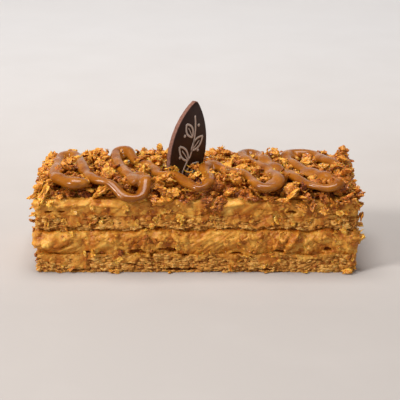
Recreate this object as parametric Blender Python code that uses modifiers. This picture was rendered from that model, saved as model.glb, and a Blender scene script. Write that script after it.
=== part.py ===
"""One slice of mille feuille, standing on its flaky base.

From the board up: a flaky pastry, a thick cream, a second pastry, a thinner cream, and a
heap of caramelised pastry crumbs.  A rope of caramel is piped to and fro over the crumbs,
and a leaf-shaped chocolate plaque stands upright in the middle.  The long side of the
slice runs along X, its front faces -Y, and the board is the plane Z = 0.
"""
import math

import bmesh
import bpy
from mathutils import Vector, noise

MM = 0.001
GAP = 0.3 * MM                    # air between two pieces that touch

# The stack: length and depth of the cut slice, and the height at which each layer ends.
LENGTH = 120.0 * MM
DEPTH = 45.0 * MM
SET_BACK = 1.3 * MM               # the rope hangs over the front, so the rest stands back
PASTRY_BOTTOM_TOP = 6.8 * MM
CREAM_LOWER_TOP = 16.6 * MM
PASTRY_MIDDLE_TOP = 22.6 * MM
CREAM_TOP_TOP = 28.0 * MM
CRUMBS_TOP = 33.2 * MM

# Unevenness of the layers.
STRIPS_ALONG = 30                 # a layer's faces along the slice
PASTRY_LEAVES = 4                 # groups of leaves that step in and out in one pastry
CREAM_BANDS = 5                   # faces up a cream's side, which make its round swelling
LAYER_WAVE = 0.3 * MM             # how far a layer's face rises and falls
WAVE_LENGTH = 26.0 * MM
LEAF_STEP = 0.35 * MM             # how far one group of leaves stands proud of the next
LEAF_RAG = 6.0 * MM               # length of the tears along a leaf's edge
SWELL_LENGTH = 17.0 * MM          # length of one swelling of the cream
CORNER_CUT = 0.9 * MM             # how far the upright corners are rounded off

# Cream that has squeezed out of the sides: the least and the most of it.
CREAM_LOWER_BULGE = (0.5 * MM, 1.9 * MM)
CREAM_TOP_BULGE = (0.2 * MM, 1.0 * MM)
CREAM_END_BULGE = 1.2 * MM        # and this much more at the middle of the two cut ends

# The heap of crumbs.
CRUMBS_OVERHANG = 0.5 * MM        # the heap is wider than the slice by this at its foot
CRUMBS_EDGE_DROP = 1.7 * MM       # the heap's rim is lower than its middle
CRUMBS_EDGE_INSET = 1.5 * MM
CRUMBS_RIM_STEP = 1.2 * MM        # the outermost crumbs are lower again
CRUMBS_SIDE_LUMP = 0.8 * MM
LUMP_HEIGHT = 2.0 * MM
LUMP_LENGTH = 7.5 * MM
ROPE_BED = 3.0 * MM               # no lump rises nearer than this to the middle of the rope

# The caramel rope.
ROPE_RADIUS = 1.75 * MM
ROPE_FIRST_SWELL = 0.22           # the rope starts thicker by this share
ROPE_SWELL_FADE = 16.0            # and loses that in the first sixteenth of its run
ROPE_UNEVEN = 0.08                # it swells and thins by this share
ROPE_PULSES = 61.0                # as it runs, in radians over its whole length
ROPE_STEP = 1.3 * MM              # distance between two points of the smooth run
ROPE_CLEARANCE = 0.6 * MM         # the rope lies this far above the smooth heap
ROPE_CELL = 1.0 * MM              # cell of the remesh that melts the rope's crossings
ROPE_KEEP = 0.19                  # share of the remeshed faces that is kept

# The chocolate plaque: a leaf of two equal arcs, closed by a round foot, in a slot.
PLAQUE_THICKNESS = 2.0 * MM
PLAQUE_ARC_RADIUS = 26.3 * MM
PLAQUE_ARC_OFFSET = 16.5 * MM     # from the leaf's axis to the centre of each arc
PLAQUE_WIDEST = 20.5 * MM         # from the tip to the widest place
PLAQUE_BLUNT = 0.6 * MM           # cut off the point of the tip
PLAQUE_FOOT_CENTRE = 28.8 * MM
PLAQUE_FOOT_RADIUS = 7.85 * MM
PLAQUE_FOOT_START = 32.3 * MM     # where the arcs run into the round foot
PLAQUE_LEAN = math.radians(14)    # the tip leans to the right, in the plaque's own plane
PLAQUE_TURN = math.radians(47)    # the plaque is turned about the vertical
PLAQUE_PLACE = Vector((-0.8, 4.5, 45.0)) * MM
SLOT_MARGIN = 0.35 * MM
PLAQUE_TIP = Vector((0.6, 15.0)) * MM      # tip from that place, across and up the plaque

# The run of the rope in millimetres: along, across, and how far it hangs below the top.
# It starts on the front left corner, and each loop reaches from the front to the back.
ROPE_ROUTE = (
    (-39.5, -20.3, 0.0), (-46.5, -19.8, 0.0), (-52.2, -14.5, 0.0), (-53.2, -3.0, 0.0),
    (-53.4, 8.5, 0.0), (-51.8, 15.4, 0.0), (-48.4, 16.6, 0.0), (-45.6, 10.0, 0.0),
    (-42.8, -4.0, 0.0),
    (-38.4, -15.6, 0.0), (-31.6, -20.2, 0.2), (-26.2, -24.6, 4.2), (-20.4, -24.5, 4.0),
    (-18.7, -18.5, -0.6), (-19.4, -12.6, 0.0), (-22.4, -11.6, 0.0), (-22.8, -17.2, -0.4),
    (-23.0, -20.6, 0.1), (-24.6, -15.0, -0.6), (-26.6, -8.0, -0.2), (-30.6, 6.0, 0.0),
    (-31.4, 16.0, -1.6),
    (-27.8, 18.2, -1.8), (-23.4, 9.5, 0.0), (-17.2, 0.6, 0.0), (-13.8, -9.6, 0.0),
    (-8.2, -12.2, 0.0), (-3.6, -18.8, 0.2), (0.6, -23.4, 1.0), (4.8, -20.0, 0.0),
    (4.6, -11.5, 0.0), (2.9, -3.0, 0.0), (6.4, 3.4, 0.0), (10.2, -2.8, 0.0),
    (16.4, -7.0, 0.0), (20.6, -14.5, 0.0), (22.0, -20.4, 0.0), (24.2, -22.6, 0.6),
    (28.6, -22.8, 0.6), (30.6, -20.4, 0.0), (30.2, -14.0, -0.4), (26.2, -2.0, 0.0),
    (18.8, 10.0, 0.0), (18.6, 18.2, 0.0),
    (23.8, 17.0, 0.0), (27.2, 5.0, -0.8), (33.6, -8.0, 0.0), (42.2, -20.0, 0.2),
    (49.6, -23.2, 0.8), (52.8, -20.6, 0.2), (46.2, -10.5, 0.0), (38.8, 2.2, 0.0),
    (35.0, 14.0, 0.0), (37.6, 19.2, -0.4), (45.6, 17.0, 0.0), (50.0, 7.0, 0.0),
    (55.2, -0.8, 0.0), (57.4, -4.2, 0.0),
)


def collection(name):
    """A new collection of the scene."""
    made = bpy.data.collections.new(name)
    bpy.context.scene.collection.children.link(made)
    return made


def finish(name, colour, roughness):
    """A plain Principled material."""
    made = bpy.data.materials.new(name)
    made.use_nodes = True
    shader = made.node_tree.nodes["Principled BSDF"]
    shader.inputs["Base Color"].default_value = (*colour, 1.0)
    shader.inputs["Roughness"].default_value = roughness
    shader.inputs["Metallic"].default_value = 0.0
    return made


def wobble(x, y, scale, seed):
    """Smooth unevenness between about -1 and 1 that is the same at every run."""
    return 1.6 * noise.noise(Vector((x / scale, y / scale, seed)))


def wave(x, y, seed):
    """How far the face between two layers rises or falls at a place of the slice."""
    return LAYER_WAVE * wobble(x, y, WAVE_LENGTH, seed)


def spread(low, high, count):
    """Evenly spaced values, both ends included."""
    return [low + (high - low) * step / count for step in range(count + 1)]


def cut_block(name, material, along, across, up):
    """A cube cut along the given planes, which leaves a grid of vertices to be shaped."""
    mesh = bpy.data.meshes.new(name)
    bm = bmesh.new()
    bmesh.ops.create_cube(bm, size=1.0)
    low = Vector((along[0], across[0], up[0]))
    high = Vector((along[-1], across[-1], up[-1]))
    for vertex in bm.verts:
        for axis in range(3):
            vertex.co[axis] = high[axis] if vertex.co[axis] > 0 else low[axis]
    for axis, planes in enumerate((along, across, up)):
        normal = Vector((0.0, 0.0, 0.0))
        normal[axis] = 1.0
        for place in planes[1:-1]:
            everything = bm.verts[:] + bm.edges[:] + bm.faces[:]
            bmesh.ops.bisect_plane(bm, geom=everything, plane_co=normal * place, plane_no=normal)
    bm.to_mesh(mesh)
    bm.free()
    mesh.materials.append(material)
    made = bpy.data.objects.new(name, mesh)
    PARTS.objects.link(made)
    return made


def reshape(made, move):
    """Sends every vertex of an object to where the function puts it."""
    for vertex in made.data.vertices:
        vertex.co = move(vertex.co.copy())
    made.data.update()


def join_flat_face(made, height):
    """Joins the grid of a face that has stayed flat at this height into one face."""
    bm = bmesh.new()
    bm.from_mesh(made.data)
    flat = [face for face in bm.faces
            if all(abs(vertex.co.z - height) < 0.001 * MM for vertex in face.verts)]
    bmesh.ops.dissolve_faces(bm, faces=flat, use_verts=False)
    bm.to_mesh(made.data)
    bm.free()


def side_of(value, limit):
    """-1 or 1 on the two outer planes of the block, and 0 between them."""
    if abs(abs(value) - limit) > 0.01 * MM:
        return 0
    return 1 if value > 0 else -1


def outward(place, half_length, half_depth, push):
    """Moves a vertex of a side face out by the push, and rounds the upright corners."""
    x_side = side_of(place.x, half_length)
    y_side = side_of(place.y, half_depth)
    corner = CORNER_CUT if x_side and y_side else 0.0
    return Vector((place.x + x_side * (push - corner), place.y + y_side * (push - corner), place.z))


def layer_grid(half_length, half_depth, up):
    """Where a layer is cut: even along its length, and finer near its long sides."""
    rows = [half_depth, half_depth - 2.0 * MM, half_depth - 8.0 * MM]
    across = [-row for row in rows] + [0.0] + rows[::-1]
    return spread(-half_length, half_length, STRIPS_ALONG), across, up


def pastry(name, material, bottom, top, half_length, seeds):
    """A flaky layer: its sides step in and out, one step for each group of leaves."""
    half_depth = DEPTH / 2
    levels = spread(bottom, top, PASTRY_LEAVES)
    made = cut_block(name, material, *layer_grid(half_length, half_depth, levels))

    def move(place):
        share = (place.z - bottom) / (top - bottom)
        low, high = (wave(place.x, place.y, seed) if seed else 0.0 for seed in seeds)
        leaf = round(share * PASTRY_LEAVES)
        step = LEAF_STEP if leaf % 2 else -LEAF_STEP
        ragged = LEAF_STEP * wobble(place.x, place.y, LEAF_RAG, 11.3 + leaf)
        moved = outward(place, half_length, half_depth, step + ragged)
        moved.z += low * (1 - share) + high * share
        return moved

    reshape(made, move)
    return made


def cream(name, material, bottom, top, half_length, seeds, bulge):
    """A layer of cream whose sides swell out, more in some places than in others."""
    half_depth = DEPTH / 2
    levels = spread(bottom, top, CREAM_BANDS)
    made = cut_block(name, material, *layer_grid(half_length, half_depth, levels))
    least, most = bulge

    def move(place):
        share = (place.z - bottom) / (top - bottom)
        low, high = (wave(place.x, place.y, seed) if seed else 0.0 for seed in seeds)
        fullness = 0.5 + 0.5 * wobble(place.x, place.y, SWELL_LENGTH, 3.7 + bottom / MM)
        swelling = least + (most - least) * fullness
        if side_of(place.x, half_length):
            swelling += CREAM_END_BULGE * (bulge[1] / CREAM_LOWER_BULGE[1])
        swelling *= 1 - (2 * share - 1) ** 2
        moved = outward(place, half_length, half_depth, swelling)
        moved.z += low * (1 - share) + high * share
        return moved

    reshape(made, move)
    return made


def round_off(value, limit, power):
    """1 in the middle, falling to 0 at the limit; the power makes the shoulder square."""
    share = min(abs(value) / limit, 1.0)
    return (1 - share ** power) ** (1 / power)


def heap_height(x, y):
    """The smooth top of the crumbs, without their lumps."""
    fall = round_off(x, LENGTH / 2 + 1.5 * MM, 12) * round_off(y, DEPTH / 2 + 1.5 * MM, 8)
    return CRUMBS_TOP - CRUMBS_EDGE_DROP * (1 - fall)


def rope_radius(share):
    """The rope's radius at a share of its run."""
    swell = ROPE_FIRST_SWELL * math.exp(-ROPE_SWELL_FADE * share)
    return ROPE_RADIUS * (1 + swell + ROPE_UNEVEN * math.sin(ROPE_PULSES * share))


def rope_point(along, across, hang, share):
    """A point of the rope's run, from the route's millimetres."""
    x, y = along * MM, across * MM
    under = heap_height(x, max(y, -DEPTH / 2 + 1.0 * MM))
    return Vector((x, y, under + rope_radius(share) + ROPE_CLEARANCE - hang * MM))


def smooth_run(points, step):
    """Points at even steps along a smooth curve through the given points."""
    ends = [2 * points[0] - points[1]] + points + [2 * points[-1] - points[-2]]
    run = [points[0]]
    for before, start, end, after in zip(ends, ends[1:], ends[2:], ends[3:]):
        pieces = max(1, round((end - start).length / step))
        for piece in range(1, pieces + 1):
            t = piece / pieces
            run.append(0.5 * (2 * start + (end - before) * t
                              + (2 * before - 5 * start + 4 * end - after) * t ** 2
                              + (3 * start - before - 3 * end + after) * t ** 3))
    return run


def rope_distance(run, x, y):
    """Distance over the heap from a place to the nearest point of the rope."""
    return min(math.hypot(point.x - x, point.y - y) for point in run)


def crumb_heap(name, material, run):
    """The heap of crumbs: lumpy where it is free, and pressed smooth under the rope."""
    half_length = LENGTH / 2 + CRUMBS_OVERHANG
    half_depth = DEPTH / 2 + CRUMBS_OVERHANG
    bottom = CREAM_TOP_TOP + GAP
    made = cut_block(name, material, spread(-half_length, half_length, 36),
                     spread(-half_depth, half_depth, 13), spread(bottom, CRUMBS_TOP, 2))

    def move(place):
        share = (place.z - bottom) / (CRUMBS_TOP - bottom)
        away = rope_distance(run, place.x, place.y)
        free = min(max(away / ROPE_BED - 1.0, 0.0), 1.0)
        rough = wobble(place.x, place.y, LUMP_LENGTH, 20.1 + 2 * share)
        side = rough if rough < 0 else rough * free
        push = CRUMBS_SIDE_LUMP * side - CRUMBS_EDGE_INSET * share
        moved = outward(place, half_length, half_depth, push)
        if share > 0.99:
            rim = side_of(place.x, half_length) or side_of(place.y, half_depth)
            moved.z = heap_height(place.x, place.y) - (CRUMBS_RIM_STEP if rim else 0.0)
            moved.z += LUMP_HEIGHT * (rough * free if rough > 0 else 0.5 * rough)
        return moved

    reshape(made, move)
    join_flat_face(made, bottom)
    return made


def rope(name, material, run):
    """The rope of caramel: a tube along its run, with the crossings melted together."""
    guide = bpy.data.curves.new(name, "CURVE")
    guide.dimensions = "3D"
    guide.bevel_depth = ROPE_RADIUS
    guide.bevel_resolution = 3
    guide.use_fill_caps = True
    line = guide.splines.new("POLY")
    line.points.add(len(run) - 1)
    for number, (vertex, place) in enumerate(zip(line.points, run)):
        vertex.co = (*place, 1.0)
        vertex.radius = rope_radius(number / len(run)) / ROPE_RADIUS
    tube = bpy.data.objects.new(name + "_tube", guide)
    PARTS.objects.link(tube)
    made = bpy.data.objects.new(name, solid_of(tube))
    PARTS.objects.link(made)
    made.data.materials.clear()
    made.data.materials.append(material)
    melt = made.modifiers.new("melt", "REMESH")
    melt.mode = "VOXEL"
    melt.voxel_size = ROPE_CELL
    ease = made.modifiers.new("ease", "SMOOTH")
    ease.factor = 0.5
    ease.iterations = 2
    thin = made.modifiers.new("thin", "DECIMATE")
    thin.ratio = ROPE_KEEP
    return made


def solid_of(curve_object):
    """A closed mesh of a curve object, which is then removed."""
    bpy.context.view_layer.update()
    seen = curve_object.evaluated_get(bpy.context.evaluated_depsgraph_get())
    mesh = bpy.data.meshes.new_from_object(seen)
    mesh.transform(curve_object.matrix_world)
    bm = bmesh.new()
    bm.from_mesh(mesh)
    bmesh.ops.remove_doubles(bm, verts=bm.verts, dist=0.01 * MM)
    bmesh.ops.recalc_face_normals(bm, faces=bm.faces)
    bm.to_mesh(mesh)
    bm.free()
    curve_data = curve_object.data
    bpy.data.objects.remove(curve_object)
    bpy.data.curves.remove(curve_data)
    return mesh


def plaque_half_width(down):
    """Half the leaf's width at a distance from its tip."""
    reach = down - PLAQUE_WIDEST
    return math.sqrt(PLAQUE_ARC_RADIUS ** 2 - reach ** 2) - PLAQUE_ARC_OFFSET


def plaque_outline(margin):
    """The leaf's outline, grown by a margin: (across, down from the tip)."""
    stations = spread(PLAQUE_BLUNT, PLAQUE_FOOT_START, 12)
    right = [(plaque_half_width(down) + margin, down) for down in stations]
    right[0] = (right[0][0], right[0][1] - margin)
    start = math.atan2(PLAQUE_FOOT_START - PLAQUE_FOOT_CENTRE, right[-1][0])
    foot = []
    for angle in spread(start, math.pi - start, 10)[1:-1]:
        reach = PLAQUE_FOOT_RADIUS + margin
        foot.append((reach * math.cos(angle), PLAQUE_FOOT_CENTRE + reach * math.sin(angle)))
    left = [(-across, down) for across, down in reversed(right)]
    return right + foot + left


def plaque_blank(name, margin):
    """The plaque as a closed mesh object, grown on all sides by a margin."""
    guide = bpy.data.curves.new(name, "CURVE")
    guide.dimensions = "2D"
    guide.fill_mode = "BOTH"
    guide.extrude = PLAQUE_THICKNESS / 2 + margin
    outline = plaque_outline(margin)
    line = guide.splines.new("POLY")
    line.use_cyclic_u = True
    line.points.add(len(outline) - 1)
    for vertex, (across, down) in zip(line.points, outline):
        x = PLAQUE_TIP.x + across * math.cos(PLAQUE_LEAN) - down * math.sin(PLAQUE_LEAN)
        y = PLAQUE_TIP.y - across * math.sin(PLAQUE_LEAN) - down * math.cos(PLAQUE_LEAN)
        vertex.co = (x, y, 0.0, 1.0)
    upright = bpy.data.objects.new(name + "_outline", guide)
    upright.location = PLAQUE_PLACE
    upright.rotation_euler = (math.radians(90), 0.0, PLAQUE_TURN)
    PARTS.objects.link(upright)
    return bpy.data.objects.new(name, solid_of(upright))


def plaque(name, material):
    """The chocolate plaque, with its edges broken by a small bevel."""
    made = plaque_blank(name, 0.0)
    PARTS.objects.link(made)
    made.data.materials.clear()
    made.data.materials.append(material)
    edge = made.modifiers.new("broken edge", "BEVEL")
    edge.width = 0.2 * MM
    edge.segments = 1
    edge.limit_method = "ANGLE"
    edge.angle_limit = math.radians(40)
    return made


def cut_slot(made, cutter):
    """Cuts the plaque's slot out of a layer."""
    slot = made.modifiers.new("slot", "BOOLEAN")
    slot.operation = "DIFFERENCE"
    slot.solver = "EXACT"
    slot.object = cutter


for old in list(bpy.data.objects):
    bpy.data.objects.remove(old, do_unlink=True)

PARTS = collection("mille_feuille_slice")
CUTTERS = collection("cutters")

baked = finish("baked pastry", (0.46, 0.19, 0.04), 0.75)
custard = finish("caramel cream", (0.60, 0.30, 0.07), 0.5)
crisp = finish("caramelised crumbs", (0.45, 0.16, 0.03), 0.45)
toffee = finish("caramel", (0.40, 0.15, 0.04), 0.25)
chocolate = finish("dark chocolate", (0.03, 0.012, 0.007), 0.4)

rope_places = [rope_point(*entry, number / len(ROPE_ROUTE))
               for number, entry in enumerate(ROPE_ROUTE)]
rope_run = smooth_run(rope_places, ROPE_STEP)

pastry("pastry_bottom", baked, 0.0, PASTRY_BOTTOM_TOP, LENGTH / 2, (0.0, 1.5))
cream("cream_lower", custard, PASTRY_BOTTOM_TOP + GAP, CREAM_LOWER_TOP, LENGTH / 2,
      (1.5, 2.5), CREAM_LOWER_BULGE)
pastry("pastry_middle", baked, CREAM_LOWER_TOP + GAP, PASTRY_MIDDLE_TOP, LENGTH / 2, (2.5, 3.5))
top_cream = cream("cream_top", custard, PASTRY_MIDDLE_TOP + GAP, CREAM_TOP_TOP, LENGTH / 2,
                  (3.5, 0.0), CREAM_TOP_BULGE)
join_flat_face(top_cream, CREAM_TOP_TOP)
heap = crumb_heap("crumb_topping", crisp, rope_run)
rope("caramel_drizzle", toffee, rope_run)
plaque("chocolate_plaque", chocolate)

slot_cutter = plaque_blank("slot_cutter", SLOT_MARGIN)
CUTTERS.objects.link(slot_cutter)
slot_cutter.hide_render = True
slot_cutter.display_type = "WIRE"
cut_slot(top_cream, slot_cutter)
cut_slot(heap, slot_cutter)

for piece in list(PARTS.objects) + [slot_cutter]:
    piece.location.y += SET_BACK
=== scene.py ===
# %% [markdown]
# # A slice of mille feuille
# This lesson dresses a plain model of a cake slice until it looks good enough to eat.
# The plain model is the frame: flat-sided layers, a lumpy heap, a rope of caramel and a
# chocolate plaque, all at their real size. The frame is never moved. Each of its pieces is
# covered by a finer one that is made here, and everything is worked out in metres.

# %% Load the frame
import itertools
import math

import bmesh
import bpy
import numpy as np
from mathutils import Matrix, Vector
from mathutils.bvhtree import BVHTree


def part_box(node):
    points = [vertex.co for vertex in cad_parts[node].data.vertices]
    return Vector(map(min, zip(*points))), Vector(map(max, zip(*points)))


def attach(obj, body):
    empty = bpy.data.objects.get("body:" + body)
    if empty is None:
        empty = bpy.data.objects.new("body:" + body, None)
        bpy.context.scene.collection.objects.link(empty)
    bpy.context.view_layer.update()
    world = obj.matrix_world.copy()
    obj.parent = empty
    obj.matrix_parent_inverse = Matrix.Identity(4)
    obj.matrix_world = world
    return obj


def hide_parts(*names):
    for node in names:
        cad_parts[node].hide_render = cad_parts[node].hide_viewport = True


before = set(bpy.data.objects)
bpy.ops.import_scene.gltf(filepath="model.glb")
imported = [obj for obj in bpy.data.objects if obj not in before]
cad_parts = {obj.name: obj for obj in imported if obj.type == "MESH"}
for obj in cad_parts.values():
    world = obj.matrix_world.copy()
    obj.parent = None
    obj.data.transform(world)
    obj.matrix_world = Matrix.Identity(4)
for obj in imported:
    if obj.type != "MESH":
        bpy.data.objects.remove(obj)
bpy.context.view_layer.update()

MM = 0.001


# %% [markdown]
# ## Where things are
# Every piece is placed from the box of the node that it covers. The heights are read once
# here, so that the layers meet: a box is (lowest corner, highest corner).

# %% Read the levels of the slice
def levels(node):
    """The lowest and the highest Z of a node, in millimetres."""
    low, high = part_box(node)
    return low[2] / MM, high[2] / MM


SLICE_LOW, SLICE_HIGH = (np.array(corner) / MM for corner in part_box("pastry_bottom"))
MIDDLE = (SLICE_LOW[:2] + SLICE_HIGH[:2]) / 2
HALF_LENGTH = (SLICE_HIGH[0] - SLICE_LOW[0]) / 2 - 0.7
HALF_DEPTH = (SLICE_HIGH[1] - SLICE_LOW[1]) / 2 - 0.7
BACK = 1.3                     # the layers stand this far behind the box's middle
CREAM_EDGE = levels("cream_top")[1]
CRUMB_TOP = 33.2               # the smooth top of the heap, before its lumps
print("slice, mm:", round(2 * HALF_LENGTH, 1), "by", round(2 * HALF_DEPTH, 1))


# %% [markdown]
# ## The camera
# The slice is seen square on from its long side, from a little above, through a long lens:
# lines that run away from the viewer stay almost parallel. The camera comes before the
# pieces.

# %% Set up the camera
VIEW_HEIGHT = math.radians(18)
VIEW_DISTANCE = 650 * MM
VIEW_TARGET = Vector((1.35, BACK, 21.4)) * MM

camera_data = bpy.data.cameras.new("camera")
camera_data.angle = math.radians(13.5)
camera_data.clip_start = 0.01
camera = bpy.data.objects.new("camera", camera_data)
bpy.context.scene.collection.objects.link(camera)
away = Vector((0.0, -math.cos(VIEW_HEIGHT), math.sin(VIEW_HEIGHT))) * VIEW_DISTANCE
camera.location = VIEW_TARGET + away
camera.rotation_euler = (math.pi / 2 - VIEW_HEIGHT, 0.0, 0.0)
bpy.context.scene.camera = camera
print("camera at, mm:", [round(c / MM) for c in camera.location])


# %% [markdown]
# ## Noise for a whole mesh at once
# Food is uneven at every scale, so nearly every step below adds noise. Blender's own
# mathutils.noise takes one point at a time, which is slow for a hundred thousand points.
# This is the same idea, Perlin's gradient noise, written for whole numpy arrays: each
# corner of a cell has a random direction, and the point blends what its 8 corners say.

# %% Gradient noise
noise_dice = np.random.default_rng(11)
corner_slopes = noise_dice.normal(size=(256, 3))
corner_slopes /= np.linalg.norm(corner_slopes, axis=1)[:, None]


def shuffled(cell, seed):
    """A number from 0 to 255 for each whole-numbered cell, the same on every run."""
    key = (cell[..., 0] * 73856093) ^ (cell[..., 1] * 19349663) ^ (cell[..., 2] * 83492791)
    key = (key + seed * 7919) & 0x7FFFFFFF
    key = ((key ^ (key >> 13)) * 1274126177) & 0x7FFFFFFF
    return (key >> 15) & 255


def noise(points, seed=0):
    """Smooth noise, about -1 to 1, at an array of points; one unit is one bump."""
    cell = np.floor(points).astype(np.int64)
    inside = points - cell
    fade = inside ** 3 * (inside * (inside * 6 - 15) + 10)
    total = np.zeros(points.shape[:-1])
    for corner in itertools.product((0, 1), repeat=3):
        slope = corner_slopes[shuffled(cell + corner, seed)]
        weight = np.prod(np.where(corner, fade, 1 - fade), axis=-1)
        total += weight * np.sum(slope * (inside - corner), axis=-1)
    return 1.7 * total


def rough(points, size, octaves=3, seed=0):
    """Noise with finer and weaker noise on it; size is the largest bump's."""
    total, strength = 0.0, 1.0
    for octave in range(octaves):
        total = total + strength * noise(points / size * 2 ** octave, seed + octave)
        strength *= 0.5
    return total


def step(low, high, value):
    """0 below low, 1 above high, and a smooth rise between them."""
    share = np.clip((value - low) / (high - low), 0.0, 1.0)
    return share * share * (3 - 2 * share)


# %% [markdown]
# ### Broken pieces
# Smooth noise makes hills, but baked pastry breaks into bits with creases between them.
# That look comes from cellular noise: centres are scattered, one to a cell, and each point
# belongs to its nearest centre. Where the two nearest are equally far, there is a crease.

# %% Cellular noise
centre_places = noise_dice.uniform(size=(256, 3))
centre_numbers = noise_dice.uniform(size=256)


def bits(points, size, seed=0):
    """(how far from the crease, a number from 0 to 1 for the bit) at each point."""
    scaled = points / size
    cell = np.floor(scaled).astype(np.int64)
    nearest = np.full(points.shape[:-1], 9.0)
    second = nearest.copy()
    number = np.zeros(points.shape[:-1])
    for corner in itertools.product((-1, 0, 1), repeat=3):
        at = cell + corner
        key = shuffled(at, seed)
        gap = np.linalg.norm(at + centre_places[key] - scaled, axis=-1)
        closer = gap < nearest
        second = np.where(closer, nearest, np.minimum(second, gap))
        number = np.where(closer, centre_numbers[key], number)
        nearest = np.minimum(nearest, gap)
    return second - nearest, number


# %% [markdown]
# ## From arrays to a mesh
# A mesh can be filled vertex by vertex, but foreach_set copies a whole array in one call.
# Each vertex may also carry numbers of its own, such as how well it is baked. They are
# stored as attributes, which the materials read by name.

# %% Mesh helpers
def make_mesh(name, places, faces, traits=None, smooth=True):
    """An object from vertex places in millimetres, faces and named numbers per vertex."""
    mesh = bpy.data.meshes.new(name)
    sizes = np.array([len(face) for face in faces], np.int32)
    corners = np.concatenate([np.asarray(face, np.int32) for face in faces])
    starts = np.concatenate([[0], np.cumsum(sizes)[:-1]])
    mesh.vertices.add(len(places))
    mesh.loops.add(len(corners))
    mesh.polygons.add(len(sizes))
    mesh.vertices.foreach_set("co", (np.asarray(places) * MM).astype(np.float32).ravel())
    mesh.loops.foreach_set("vertex_index", corners)
    mesh.polygons.foreach_set("loop_start", starts.astype(np.int32))
    mesh.update(calc_edges=True)
    mesh.validate()
    for trait, values in (traits or {}).items():
        stored = mesh.attributes.new(trait, "FLOAT", "POINT")
        stored.data.foreach_set("value", np.asarray(values, np.float32).ravel())
    if smooth:
        mesh.shade_smooth()
    made = bpy.data.objects.new(name, mesh)
    bpy.context.scene.collection.objects.link(made)
    print(name, "has", len(places), "vertices")
    return made


def rings_to_faces(rings, around):
    """Quads between neighbouring rings of vertices, and one face to close each end."""
    first = np.arange(around)
    second = (first + 1) % around
    faces = []
    for ring in range(rings - 1):
        low, high = ring * around, (ring + 1) * around
        quads = np.stack([low + first, low + second, high + second, high + first], axis=1)
        faces.extend(quads.tolist())
    faces.append(first[::-1].tolist())
    faces.append(((rings - 1) * around + first).tolist())
    return faces


# %% [markdown]
# ## The outline of the slice
# All four layers share one outline, an oblong with softly rounded corners. It is walked at
# even steps, and at each step the direction that points straight out is kept too, because
# bulges, leaves and tears all push the surface in or out along it.

# %% Walk round the outline
def outline(half_length, half_depth, corner, pitch):
    """Places along a rounded oblong about the slice's middle, and the way out at each."""
    places, ways = [], []
    centres = ((1, -1, -math.pi / 2), (1, 1, 0.0), (-1, 1, math.pi / 2), (-1, -1, math.pi))
    for side, (x_sign, y_sign, start) in enumerate(centres):
        centre = np.array([x_sign * (half_length - corner), y_sign * (half_depth - corner)])
        turns = max(3, round(corner * math.pi / 2 / pitch))
        for angle in start + np.linspace(0, math.pi / 2, turns + 1):
            way = np.array([math.cos(angle), math.sin(angle)])
            places.append(centre + corner * way)
            ways.append(way)
        straight = 2 * ((half_depth if side % 2 == 0 else half_length) - corner)
        run = np.array([-ways[-1][1], ways[-1][0]])
        for along in np.arange(pitch, straight - pitch / 2, pitch):
            places.append(centre + corner * ways[-1] + run * along)
            ways.append(ways[-1])
    return np.array(places) + [0.0, BACK], np.array(ways)


edge_places, edge_ways = outline(HALF_LENGTH, HALF_DEPTH, 1.6, 0.3)
print("outline:", len(edge_places), "points")


# %% [markdown]
# ### A layer's skin
# A layer is a stack of rings. The rings run up the side, and a few more lie on the top and
# the bottom, ever further in, so that the edge can be rounded and the top can be uneven.
# Two functions that the caller gives, push and traits, say how far each point stands out
# and what it carries. Both get whole arrays of points and their share of the height.

# %% Build a skin
def sway(points):
    """How far the layers rise and sink along the slice, in mm; nothing at foot and top."""
    flat = points * (1.0, 1.0, 0.0)
    waves = 0.7 * noise(flat / 9.0, 57) + 0.45 * noise(flat / 3.4, 58)
    return waves * np.sin(math.pi * np.clip(points[..., 2] / CREAM_EDGE, 0.0, 1.0))


def layer_skin(name, low, high, pitch, push, traits, rounding=0.0):
    """A closed layer; rounding is how far its top edge is drawn down, in mm."""
    insets_on_top = np.array([0.25, 0.6, 1.1, 1.8, 2.8, 4.0, 5.5])
    side = np.arange(low, high + pitch / 2, pitch)
    heights = np.concatenate([[low, low], side, np.full(len(insets_on_top), side[-1])])
    insets = np.concatenate([[3.0, 1.0], np.zeros(len(side)), insets_on_top])
    base = np.zeros((len(heights), len(edge_places), 3))
    base[..., :2] = edge_places - insets[:, None, None] * edge_ways
    base[..., 2] = heights[:, None]
    share = np.clip((base[..., 2] - low) / (high - low), 0.0, 1.0)
    out = push(base, share)
    out[:2] = out[2]
    out[-len(insets_on_top):] = out[-len(insets_on_top) - 1]
    places = base.copy()
    places[..., :2] += out[..., None] * edge_ways
    if rounding:
        reach = np.where(heights > side[-1] - pitch / 2, insets, 0.0)
        drop = rounding * (1 - step(0.0, 1.6, reach)) * (heights > side[-1] - pitch / 2)
        drop += 1.5 * step(2.8, 5.5, reach)
        bumps = 0.3 * rough(base, 5.0, 3, 55) * (heights > side[-1] - pitch / 2)[:, None]
        places[..., 2] += bumps - drop[:, None]
    places[..., 2] += sway(base)
    numbers = {key: value.reshape(-1) for key, value in traits(base, share).items()}
    faces = rings_to_faces(len(heights), len(edge_places))
    return make_mesh(name, places.reshape(-1, 3), faces, numbers)


# %% [markdown]
# ## Materials, and a little help to write them
# A material is a graph of nodes. Two small helpers keep that readable: one adds a node and
# sets or links its inputs, and one makes a ramp of colours. Colours are given as they are
# seen on a screen, 0 to 255, and turned into the linear light that Blender works in.

# %% Material helpers
def seen(red, green, blue):
    """Linear colour from the values that a screen shows."""
    parts = [value / 255 for value in (red, green, blue)]
    return (*[p / 12.92 if p <= 0.04045 else ((p + 0.055) / 1.055) ** 2.4 for p in parts], 1.0)


def new_material(name):
    """A material with its node tree and its Principled shader."""
    made = bpy.data.materials.new(name)
    made.use_nodes = True
    return made, made.node_tree, made.node_tree.nodes["Principled BSDF"]


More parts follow.
